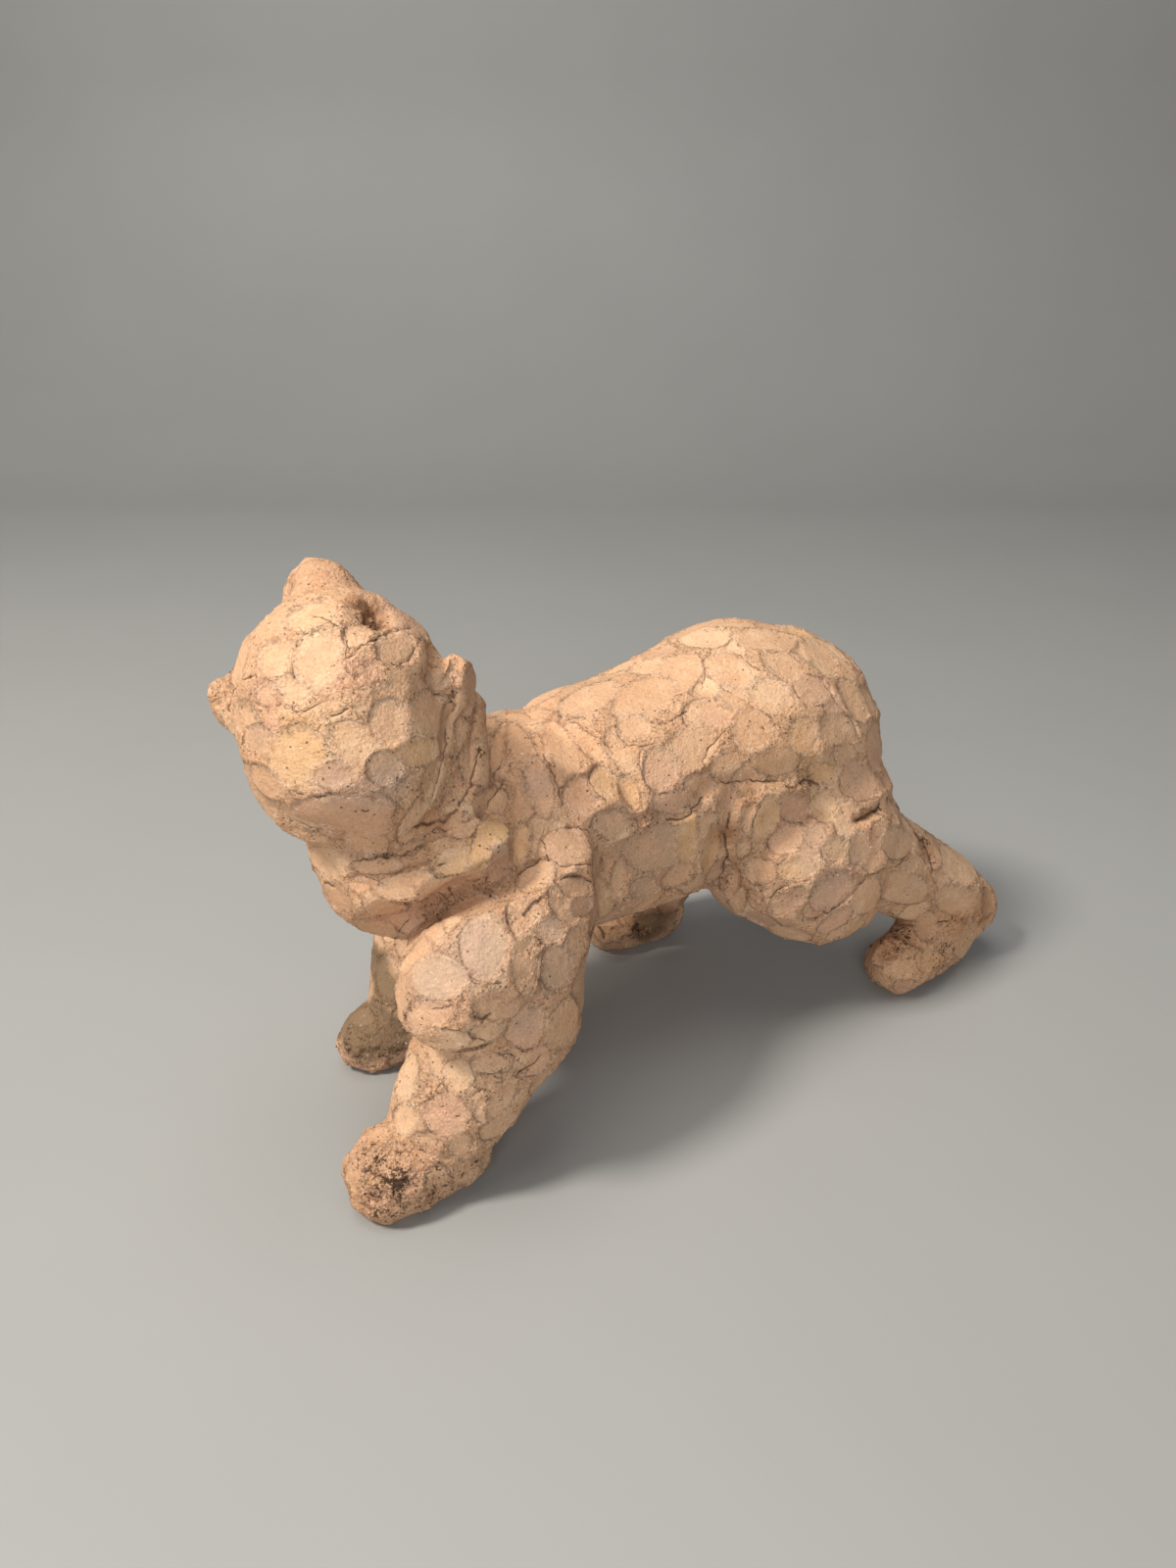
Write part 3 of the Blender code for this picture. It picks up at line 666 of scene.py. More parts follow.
def randomScoops(points, normals):
    # each scoop: middle, facing, two rows that turn an offset into shares of its outline, and its cut
    places, tree = scoopPlaces(points)
    chance = random.Random(tool["seed"] + 1)
    turns = random.Random(tool["seed"] + 2)
    made = []
    for place, width in places:
        around = [index for _, index, _ in tree.find_range(place, width * looseScoops["around"])]
        facing = Vector(normals[around].mean(axis=0)).normalized()
        stroke = Vector([chance.gauss(*axis) for axis in looseScoops["stroke"]])
        along = (stroke - facing * stroke.dot(facing)).normalized()
        across = facing.cross(along)
        half = width * 0.5
        halves = [half * chance.uniform(*looseScoops[name]) for name in ("long", "short")]
        tilt = [chance.gauss(*looseScoops[name]) for name in ("tiltAlong", "tiltAcross")]
        made.append({
            "middle": points[around].mean(axis=0),
            "facing": np.array(facing),
            "rows": np.array([along / halves[0], across / halves[1]]),
            "tilt": np.array(along) * tilt[0] + np.array(across) * tilt[1],
            "radius": (halves[0] + halves[1]) / 2,
            "height": chance.gauss(*looseScoops["height"]) * tool["step"] * share,
            "order": chance.random(),
            "lip": turns.gauss(*looseScoops["lip"]),
            "lipStrength": looseScoops["lipStrength"],
            "tone": min(max(turns.gauss(*looseScoops["tone"]), 0.02), 0.98),
            "flat": tool["flatness"],
            "depth": 1.0,
        })
    return made, tree


def rayThrough(across, down):
    # from the camera through a pixel of the photograph, one metre deep
    wide, high = camera["picture"]
    ray = Vector(((across - wide / 2) / camera["focus"], (high / 2 - down) / camera["focus"], -1.0))
    turned = Matrix.Rotation(math.radians(camera["turn"]), 3, "Z")
    tipped = Matrix.Rotation(math.radians(90 - camera["down"]), 3, "X")
    return turned @ tipped @ ray


def seenPlace(skinTree, across, down):
    # the place of the form behind a pixel, or the nearest one beside its line of sight
    eye = Vector(camera["placeToForm"])
    ray = rayThrough(across, down).normalized()
    place, _, _, _ = skinTree.ray_cast(eye, ray)
    if place is None:
        # every 5 mm from 0.30 m to past the figure
        tries = [skinTree.find_nearest(eye + ray * (0.30 + 0.005 * step)) for step in range(70)]
        place = min(tries, key=lambda found: found[3])[0]
    return place


def seenScoops(points, normals, tree, skinTree):
    # the scoops that the photograph shows, laid from its pixels on the form
    eye = Vector(camera["placeToForm"])
    chance = random.Random(tool["seed"] + 3)
    made = []
    for groupName, group in carving.items():
        for across, down, longHalf, shortHalf, turn, lip, tint in group:
            place = seenPlace(skinTree, across, down)
            depth = (place - eye).length
            reach = math.sqrt(longHalf * shortHalf) / camera["focus"] * depth
            felt = max(reach * seenCut["around"], seenCut["leastAround"] * share)
            around = [index for _, index, _ in tree.find_range(place, felt)]
            facing = Vector(normals[around].mean(axis=0)).normalized()
            toEye = (eye - place).normalized()
            turnedAway = seenCut["leastFacing"] - facing.dot(toEye)
            if turnedAway > 0:
                facing = (facing + toEye * turnedAway).normalized()
            turned = math.radians(turn)
            arms = []
            for half, angle in ((longHalf, turned), (shortHalf, turned + math.pi / 2)):
                ray = rayThrough(across + half * math.cos(angle), down + half * math.sin(angle))
                foot = eye + ray * ((place - eye).dot(facing) / ray.dot(facing))
                arms.append(foot - place)
            outline = np.array([arms[0], arms[1]]).T
            radius = math.sqrt(arms[0].cross(arms[1]).length)
            lipTurn = math.radians(lip if lip is not None else chance.uniform(0, 360)) - turned
            made.append({
                "middle": np.array(place),
                "facing": np.array(facing),
                "rows": np.linalg.pinv(outline),
                "tilt": np.zeros(3),
                "radius": radius,
                "height": -chance.uniform(*seenCut["height"]) * tool["depths"][groupName] * share,
                "depth": tool["depths"][groupName],
                "order": 2.0 + len(made) * 0.001,     # after all the loose ones, in the order typed
                "lip": math.atan2(math.sin(lipTurn) / shortHalf, math.cos(lipTurn) / longHalf),
                "lipStrength": seenCut["plainLip"] if lip is None else 1.0,
                "tone": tool["tones"][tint] + chance.gauss(0.0, seenCut["toneSpread"]),
                "flat": tool["flatness"] * min(1.0, seenCut["levelRadius"] * share / radius),
            })
    return made


def clearedScoops(loose, seen, skinTree):
    # the random scoops that leave room for the seen ones and for the uncut places
    kept = []
    eye = Vector(camera["placeToForm"])
    bare = [(seenPlace(skinTree, across, down), radius / camera["focus"]) for across, down, radius in uncut]
    for scoop in loose:
        spot = Vector(scoop["middle"])
        room = seenCut["bareRoom"] * scoop["radius"]
        clear = all((spot - place).length > reach * (place - eye).length + room for place, reach in bare)
        for other in seen:
            offset = scoop["middle"] - other["middle"]
            if offset @ offset > (other["radius"] * 2) ** 2 or scoop["facing"] @ other["facing"] < 0.2:
                continue
            if np.hypot(*(other["rows"] @ offset)) < seenCut["clear"]:
                clear = False
        if clear:
            kept.append(scoop)
    return kept


def seenLines(skinTree):
    # the cracks that the photograph shows, as wandering lines on the form
    chance = random.Random(crackLine["seed"])
    stray = crackLine["stray"]
    made = []
    for width, depth, line in cracks.values():
        spots = []
        for (startAcross, startDown), (endAcross, endDown) in zip(line[:-1], line[1:]):
            far = math.hypot(endAcross - startAcross, endDown - startDown)
            steps = max(1, round(far / crackLine["step"]))
            for step in range(steps):
                part = step / steps
                spots.append((startAcross + (endAcross - startAcross) * part + chance.gauss(0, stray),
                              startDown + (endDown - startDown) * part + chance.gauss(0, stray)))
        spots.append(line[-1])
        places = [seenPlace(skinTree, across, down) for across, down in spots]
        runs = [[places[0]]]
        for place in places[1:]:
            if (place - runs[-1][-1]).length > crackLine["gap"] * share:
                runs.append([])
            runs[-1].append(place)
        width, depth = width * crackLine["width"] * share, depth * crackLine["depth"] * share
        made += [(width, depth, np.array(run)) for run in runs]
    return made


def crackFields(points, lines):
    # how deep the cracks go at each point, and how many of its own widths the nearest one is away
    pressed = np.zeros(len(points))
    away = np.full(len(points), crackLine["felt"])
    for width, depth, line in lines:
        reach = crackLine["felt"] * width
        low, high = line.min(axis=0) - reach, line.max(axis=0) + reach
        near = np.flatnonzero(np.all((points > low) & (points < high), axis=1))
        distance = lineDistance(points[near], line) / width
        away[near] = np.minimum(away[near], distance)
        pressed[near] = np.maximum(pressed[near], depth * np.exp(-distance ** 2))
    return pressed, away


# how each stain, painted shade too, spreads from its middle, and the brown ring that the ground leaves at
# the soles
stainSpread = {
    "reach": 1.35,               # in its own radii
    "slope": 1.6,
    "smallest": 0.5,             # strength of the smallest ones
    "fullRadius": 40,            # what a radius in pixels adds to it
}
soleRing = {
    "top": 1.2,
    "height": 15,                # in shares
    "rust": 0.40,
    "darkFrom": 0.45,
    "dark": 0.7,
    "rough": 0.6,
}


def stainAndShadeFields(points, skinTree):
    # how strong each kind of stain and painted shade is at each point
    eye = Vector(camera["placeToForm"])
    fields = {kind: np.zeros(len(points)) for kind in stainsAndShade}
    for kind, places in stainsAndShade.items():
        for across, down, radius, strength in places:
            place = seenPlace(skinTree, across, down)
            reach = radius / camera["focus"] * (place - eye).length * stainSpread["reach"]
            offset = points - np.array(place)
            near = np.flatnonzero(np.einsum("ij,ij->i", offset, offset) < reach * reach)
            part = 1 - np.linalg.norm(offset[near], axis=1) / reach
            strong = strength * min(1.0, stainSpread["smallest"] + radius / stainSpread["fullRadius"])
            stained = strong * np.clip(part * stainSpread["slope"], 0, 1)
            fields[kind][near] = np.maximum(fields[kind][near], stained)
    low = points[:, 2] / share
    ring = np.clip(soleRing["top"] - low / soleRing["height"], 0, 1) * blobs(points, "ring")
    sooty = np.clip(ring - soleRing["darkFrom"], 0, 1) * soleRing["dark"]
    fields["rust"] = np.maximum(fields["rust"], ring * soleRing["rust"])
    fields["dark"] = np.maximum(fields["dark"], sooty)
    fields["rough"] = np.maximum(fields["rough"], ring * soleRing["rough"])
    return fields


def carriedOver(known, values, wanted, cell):
    # values known at some points, carried to others through a coarse lattice
    low = known.min(axis=0) - 3 * cell
    size = ((known.max(axis=0) - low) / cell).astype(int) + 5

    def corners(points):
        spot = (points - low) / cell
        whole = np.floor(spot).astype(int)
        inside = spot - whole
        for corner in range(8):
            step = np.array([corner & 1, corner >> 1 & 1, corner >> 2 & 1])
            weight = np.where(step == 1, inside, 1 - inside).prod(axis=1)
            yield np.ravel_multi_index((whole + step).T, size), weight

    total = np.zeros(size.prod())
    amount = np.zeros(size.prod())
    for index, weight in corners(known):
        total += np.bincount(index, weight * values, len(total))
        amount += np.bincount(index, weight, len(total))
    mean = total / np.maximum(amount, 1e-9)
    found = np.zeros(len(wanted))
    sure = np.zeros(len(wanted))
    for index, weight in corners(wanted):
        weight = weight * (amount[index] > 1e-6)
        found += weight * mean[index]
        sure += weight
    return found / np.maximum(sure, 1e-9)


def cutSkin(points, normals, made):
    # moves each point to the floor of the scoop that owns it, and tells how near a scoop's edge it lies
    count = len(points)
    wobble = blobs(points, "outline")
    inOrder = np.argsort(points[:, 0])
    sortedX = points[inOrder, 0]
    owner = np.full(count, -1)
    ownerOrder = np.full(count, -1.0)
    blend = np.zeros(count)
    blendShift = np.zeros((count, 3))
    blendTone = np.zeros(count)
    cuts = []
    for number, scoop in enumerate(made):
        reach = scoop["radius"] * tool["feltOver"]
        first, last = np.searchsorted(sortedX, (scoop["middle"][0] - reach, scoop["middle"][0] + reach))
        near = inOrder[first:last]
        offset = points[near] - scoop["middle"]
        facing = normals[near] @ scoop["facing"]
        inView = (np.einsum("ij,ij->i", offset, offset) < reach ** 2) & (facing > tool["facing"])
        near, offset = near[inView], offset[inView]
        flat = offset @ scoop["rows"].T
        spread = np.hypot(flat[:, 0], flat[:, 1]) / tool["cover"] * (1 + wobble[near])
        height = offset @ scoop["facing"]
        inside = spread < 1
        sag = height[inside].mean() if inside.any() else 0.0
        bowl = np.minimum(spread, tool["brim"]) ** 2 - tool["level"]
        dip = scoop["depth"] * tool["hollow"] * share * bowl
        floor = (1 - scoop["flat"]) * height + scoop["flat"] * tool["sag"] * sag * (scoop["order"] > 1)
        wanted = scoop["height"] + offset @ scoop["tilt"] + dip + floor
        shift = np.clip(wanted - height, -tool["reach"] * share, tool["rise"] * scoop["depth"] * share)
        turn = np.arctan2(flat[:, 1], flat[:, 0])
        lip = (0.5 + 0.5 * np.cos(turn - scoop["lip"])) * scoop["lipStrength"]
        cuts.append((near, spread, shift, lip, flat))
        weight = np.exp(-tool["fade"] * spread ** 2)
        blend[near] += weight
        blendShift[near] += weight[:, None] * shift[:, None] * scoop["facing"]
        blendTone[near] += weight * scoop["tone"]
        wins = inside & (scoop["order"] > ownerOrder[near])
        owner[near[wins]] = number
        ownerOrder[near[wins]] = scoop["order"]
    moved = points + blendShift / np.maximum(blend, 1e-9)[:, None]
    edge = np.full(count, tool["edgeless"] * share)
    edgeLip = np.zeros(count)
    over = np.full(count, tool["edgeless"] * share)
    overLip = np.zeros(count)
    tone = np.where(blend > 1e-9, blendTone / np.maximum(blend, 1e-9), 0.5)
    stroke = np.zeros((count, 3))
    for number, (near, spread, shift, lip, flat) in enumerate(cuts):
        scoop = made[number]
        mine = owner[near] == number
        own = near[mine]
        inset = (1 - spread[mine]) * scoop["radius"]
        nearLip = np.clip(1 - inset / (tool["lipWidth"] * share), 0, 1)
        sink = tool["sink"] * share * lip[mine] * nearLip
        moved[own] = points[own] + (shift[mine] - sink)[:, None] * scoop["facing"]
        edge[own] = inset
        edgeLip[own] = lip[mine]
        tone[own] = scoop["tone"]
        stroke[own, :2] = flat[mine] * scoop["radius"]
        stroke[own, 2] = number * 0.01
        beside = (spread > 1) & (scoop["order"] > ownerOrder[near])
        gap = (spread[beside] - 1) * scoop["radius"]
        closer = gap < over[near[beside]]
        other = near[beside][closer]
        over[other] = gap[closer]
        overLip[other] = lip[beside][closer]
    return {"moved": moved, "owner": owner, "edge": edge, "edgeLip": edgeLip, "over": over,
            "overLip": overLip, "tone": tone, "stroke": stroke}


def hollowness(mesh, points, normals, rounds):
    # how far each point lies below the mean of its neighbourhood, in metres
    edges = np.empty(len(mesh.edges) * 2, dtype=int)
    mesh.edges.foreach_get("vertices", edges)
    first, second = edges.reshape(-1, 2).T
    count = np.bincount(first, minlength=len(points)) + np.bincount(second, minlength=len(points))
    smooth = points.copy()
    for _ in range(rounds):
        for axis in range(3):
            column = smooth[:, axis]
            total = np.bincount(first, weights=column[second], minlength=len(points))
            total += np.bincount(second, weights=column[first], minlength=len(points))
            smooth[:, axis] = 0.5 * column + 0.5 * total / count
    return np.einsum("ij,ij->i", smooth - points, normals)


def countTriangles(mesh):
    return sum(len(face.vertices) - 2 for face in mesh.polygons)


def setField(mesh, name, values):
    kind = "FLOAT" if values.ndim == 1 else "FLOAT_VECTOR"
    field = mesh.attributes.new(name, kind, "POINT")
    field.data.foreach_set("value" if kind == "FLOAT" else "vector", values.astype(np.float32).ravel())


def getField(mesh, name):
    values = np.empty(len(mesh.vertices), dtype=np.float32)
    mesh.attributes[name].data.foreach_get("value", values)
    return values


# how the cut skin is roughened, lengths in shares
grit = {
    "hollowRounds": 40,          # rounds of smoothing that tell a hollow from a bump
    "hollowCell": 3,
    "hollowFrom": 1.0,           # a hollow this deep starts to crumble, and deeper by this much it all does
    "hollowOver": 3.0,
    "hollowMost": 0.65,
    "burrReach": 0.8,
    "groundReach": 0.8,
    "groundPart": 0.7,
    "edgeReach": 0.9,
    "edgeBreak": 0.22,
    "everywhere": 0.02,
    "wornFrom": 0.3,             # crumbs higher than this are worn down, by this much
    "worn": 0.35,
}


def skinMesh():
    base = modelledForm(form["grain"])
    points = readPoints(base)
    normals = readNormals(base)
    loose, tree = randomScoops(points, normals)
    faces = [list(face.vertices) for face in base.polygons]
    skinTree = bvhtree.BVHTree.FromPolygons(points.tolist(), faces)
    seen = seenScoops(points, normals, tree, skinTree)
    made = clearedScoops(loose, seen, skinTree) + seen
    print("form modelled,", len(points), "points,", len(made), "scoops")
    deep = hollowness(base, points, normals, grit["hollowRounds"])
    fine = modelledForm(form["fine"])
    hollow = carriedOver(points, deep, readPoints(fine), grit["hollowCell"] * share)
    points = readPoints(fine)
    normals = readNormals(fine)
    cut = cutSkin(points, normals, made)
    print("scoops cut on", len(points), "points")
    moved = cut["moved"]
    nearest = np.minimum(cut["edge"], cut["over"])
    lip = np.where(cut["over"] < cut["edge"], cut["overLip"], cut["edgeLip"])
    stainAndShade = stainAndShadeFields(points, skinTree)
    creased = grit["hollowMost"] * np.clip((hollow / share - grit["hollowFrom"]) / grit["hollowOver"], 0, 1)
    stainAndShade["rough"] = np.maximum(stainAndShade["rough"], creased * np.clip(blobs(points, "creased"), 0, 1))
    burr = tool["burr"] * share * cut["overLip"] * blobs(points, "burr")
    burr *= np.exp(-(cut["over"] / (grit["burrReach"] * share)) ** 2)
    ground = np.where(cut["owner"] < 0, 1.0, 0.0) * np.clip(nearest / (grit["groundReach"] * share), 0, 1)
    crumbly = blobs(points, "crumbly")
    edgeBreak = np.exp(-(nearest / (grit["edgeReach"] * share)) ** 2)
    edgeBreak = edgeBreak * np.clip(blobs(points, "broken"), 0, 1) * grit["edgeBreak"]
    loosened = tool["ground"] * ground * grit["groundPart"] + tool["crumble"] * stainAndShade["rough"]
    lift = burr + share * crumbly * (loosened + edgeBreak + grit["everywhere"])
    lift -= share * stainAndShade["rough"] * grit["worn"] * np.clip(crumbly - grit["wornFrom"], 0, 1)
    crackDepth, crackAway = crackFields(points, seenLines(skinTree))
    gouged = pressedDepth(moved, allGouges()) * blobs(points, "gouged")
    cracked = crackDepth * blobs(points, "cracked")
    moved = moved + normals * (lift - gouged - cracked)[:, None]
    moved[:, 2] = np.maximum(moved[:, 2] - form["soles"] * share, 0.0)
    writePoints(fine, moved)
    fields = {
        "edge": nearest / share,
        "lip": lip,
        "ground": ground,
        "tone": cut["tone"],
        "crack": crackAway,
        "gouge": gouged / share,
        "hollow": hollow / share,
        "rough": stainAndShade["rough"],
        "stroke": cut["stroke"],
        "dirt": np.stack([stainAndShade["dark"], stainAndShade["rust"], stainAndShade["olive"]], axis=1),
        "blush": np.stack([stainAndShade["ochre"], stainAndShade["mauve"], stainAndShade["pink"]], axis=1),
    }
    for name, values in fields.items():
        setField(fine, name, values)
    triangles = countTriangles(fine)
    thin = evaluatedMesh(fine, ("DECIMATE", {"ratio": form["triangles"] / triangles}))
    print("skin thinned from", triangles, "to", countTriangles(thin), "triangles")
    return thin


def fitToFrame(mesh):
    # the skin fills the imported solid's box and never stands out of it
    points = readPoints(mesh)
    low, high = points.min(axis=0), points.max(axis=0)
    cadLow, cadHigh = np.array(cadBox[0]), np.array(cadBox[1])
    points = cadLow + (points - low) * ((cadHigh - cadLow) / (high - low))
    writePoints(mesh, points)


class Signal:
    # one output of a material's nodes, with arithmetic
    def __init__(self, nodes, socket):
        self.nodes = nodes
        self.socket = socket

    def math(self, operation, first, second=0.0):
        return self.nodes.add("ShaderNodeMath", {"operation": operation}, {0: first, 1: second})

    def __add__(self, other):
        return self.math("ADD", self, other)

    def __radd__(self, other):
        return self.math("ADD", other, self)

    def __sub__(self, other):
        return self.math("SUBTRACT", self, other)

    def __rsub__(self, other):
        return self.math("SUBTRACT", other, self)

    def __mul__(self, other):
        return self.math("MULTIPLY", self, other)

    def __rmul__(self, other):
        return self.math("MULTIPLY", other, self)

    def larger(self, other):
        return self.math("MAXIMUM", self, other)

    def size(self):
        return self.math("ABSOLUTE", self)

    def rise(self, low, high):
        # smoothly from 0 at low to 1 at high
        return self.nodes.add("ShaderNodeMapRange", {"interpolation_type": "SMOOTHSTEP"},
                              {"Value": self, "From Min": low, "From Max": high})

    def fall(self, low, high):
        # smoothly from 1 at low to 0 at high
        return self.nodes.add("ShaderNodeMapRange", {"interpolation_type": "SMOOTHSTEP"},
                              {"Value": self, "From Min": low, "From Max": high,
                               "To Min": 1.0, "To Max": 0.0})


class Nodes:
    # a new material's node tree
    def __init__(self, name):
        self.material = bpy.data.materials.new(name)
        self.material.use_nodes = True
        self.tree = self.material.node_tree
        self.shader = self.tree.nodes["Principled BSDF"]

    def add(self, kind, settings, values, output=0):
        node = self.tree.nodes.new(kind)
        for name, value in settings.items():
            if name == "stops":
                self.setStops(node.color_ramp, value)
            else:
                setattr(node, name, value)
        for name, value in values.items():
            self.connect(value, node.inputs[name])
        return Signal(self, node.outputs[output])

    def setStops(self, ramp, stops):
        while len(ramp.elements) < len(stops):
            ramp.elements.new(0.5)
        for element, (place, color) in zip(ramp.elements, stops):
            element.position = place
            element.color = (*color, 1.0)

    def connect(self, value, socket):
        if isinstance(value, Signal):
            self.tree.links.new(value.socket, socket)
        elif isinstance(value, tuple) and len(value) == 3 and socket.type == "RGBA":
            socket.default_value = (*value, 1.0)
        else:
            socket.default_value = value

    def mix(self, amount, first, second):
        # a colour between two others
        return self.add("ShaderNodeMix", {"data_type": "RGBA"}, {0: amount, 6: first, 7: second}, 2)

    def field(self, name, output="Fac"):
        return self.add("ShaderNodeAttribute", {"attribute_name": name}, {}, output)

    def part(self, vector, axis):
        return self.add("ShaderNodeSeparateXYZ", {}, {0: vector}, axis)

    def noise(self, place, size, detail=2.0, roughness=0.55, warp=0.0):
        # blobs about this many millimetres across
        return self.add("ShaderNodeTexNoise", {}, {"Vector": place, "Scale": 1000.0 / size, "Detail": detail,
                                                   "Roughness": roughness, "Distortion": warp})

    def dots(self, place, size):
        # grains on a random lattice: how far the nearest is, and a random number for each
        values = {"Vector": place, "Scale": 1000.0 / size}
        distance = self.add("ShaderNodeTexVoronoi", {}, values, "Distance")
        color = self.add("ShaderNodeTexVoronoi", {}, values, "Color")
        return distance, self.add("ShaderNodeSeparateColor", {}, {"Color": color}, "Red")


clayLook = {
    "tones": [(0.05, (0.54, 0.355, 0.220)), (0.22, (0.64, 0.375, 0.240)), (0.42, (0.64, 0.385, 0.225)),
              (0.60, (0.68, 0.420, 0.250)), (0.78, (0.76, 0.495, 0.300)), (0.96, (0.66, 0.390, 0.195))],
    "pale": (0.80, 0.535, 0.330),
    "ruddy": (0.62, 0.330, 0.170),
    "pink": (0.72, 0.410, 0.275),
    "ochre": (0.67, 0.405, 0.185),
    "mauve": (0.47, 0.330, 0.250),
    # dark olive brown: a stain on the far paws, deepened into painted shade where the body shades them
    "olive": (0.165, 0.110, 0.060),
    "rust": (0.46, 0.225, 0.105),
    # pale, for the painted highlight along the scoop rims and for pale specks
    "highlightAndSpeck": (0.82, 0.575, 0.400),
    "dark": (0.060, 0.031, 0.017),
    # dark brown, for painted shade in hollows, gouges and along the scoop lips, and for dark specks
    "shadeAndSpeck": (0.30, 0.135, 0.062),
    "grog": (0.90, 0.80, 0.66),
    # the noises: size in millimetres, detail and roughness
    "noises": {"wide": (38, 2.0, 0.55), "middling": (9, 5.0, 0.62), "small": (2.8, 5.0, 0.68),
               "fine": (0.9, 4.0, 0.65)},
    # the stains: how much a noise frays each, where it starts and is full, and its strength
    "stained": {"ochre": (0.7, 0.55, 1.35, 0.60), "pink": (0.7, 0.55, 1.25, 0.60),
                "mauve": (0.7, 0.50, 1.30, 0.55), "rust": (0.9, 0.60, 1.40, 0.75),
                "olive": (0.4, 0.40, 1.00, 0.85)},
    "drag": (0.15, 1.0, 1.0),    # stretches the noise along the tool's stroke
    "bump": 0.001,
    "shine": 0.3,
    "dull": (0.80, 0.16),        # roughness, and what the small noise adds
}


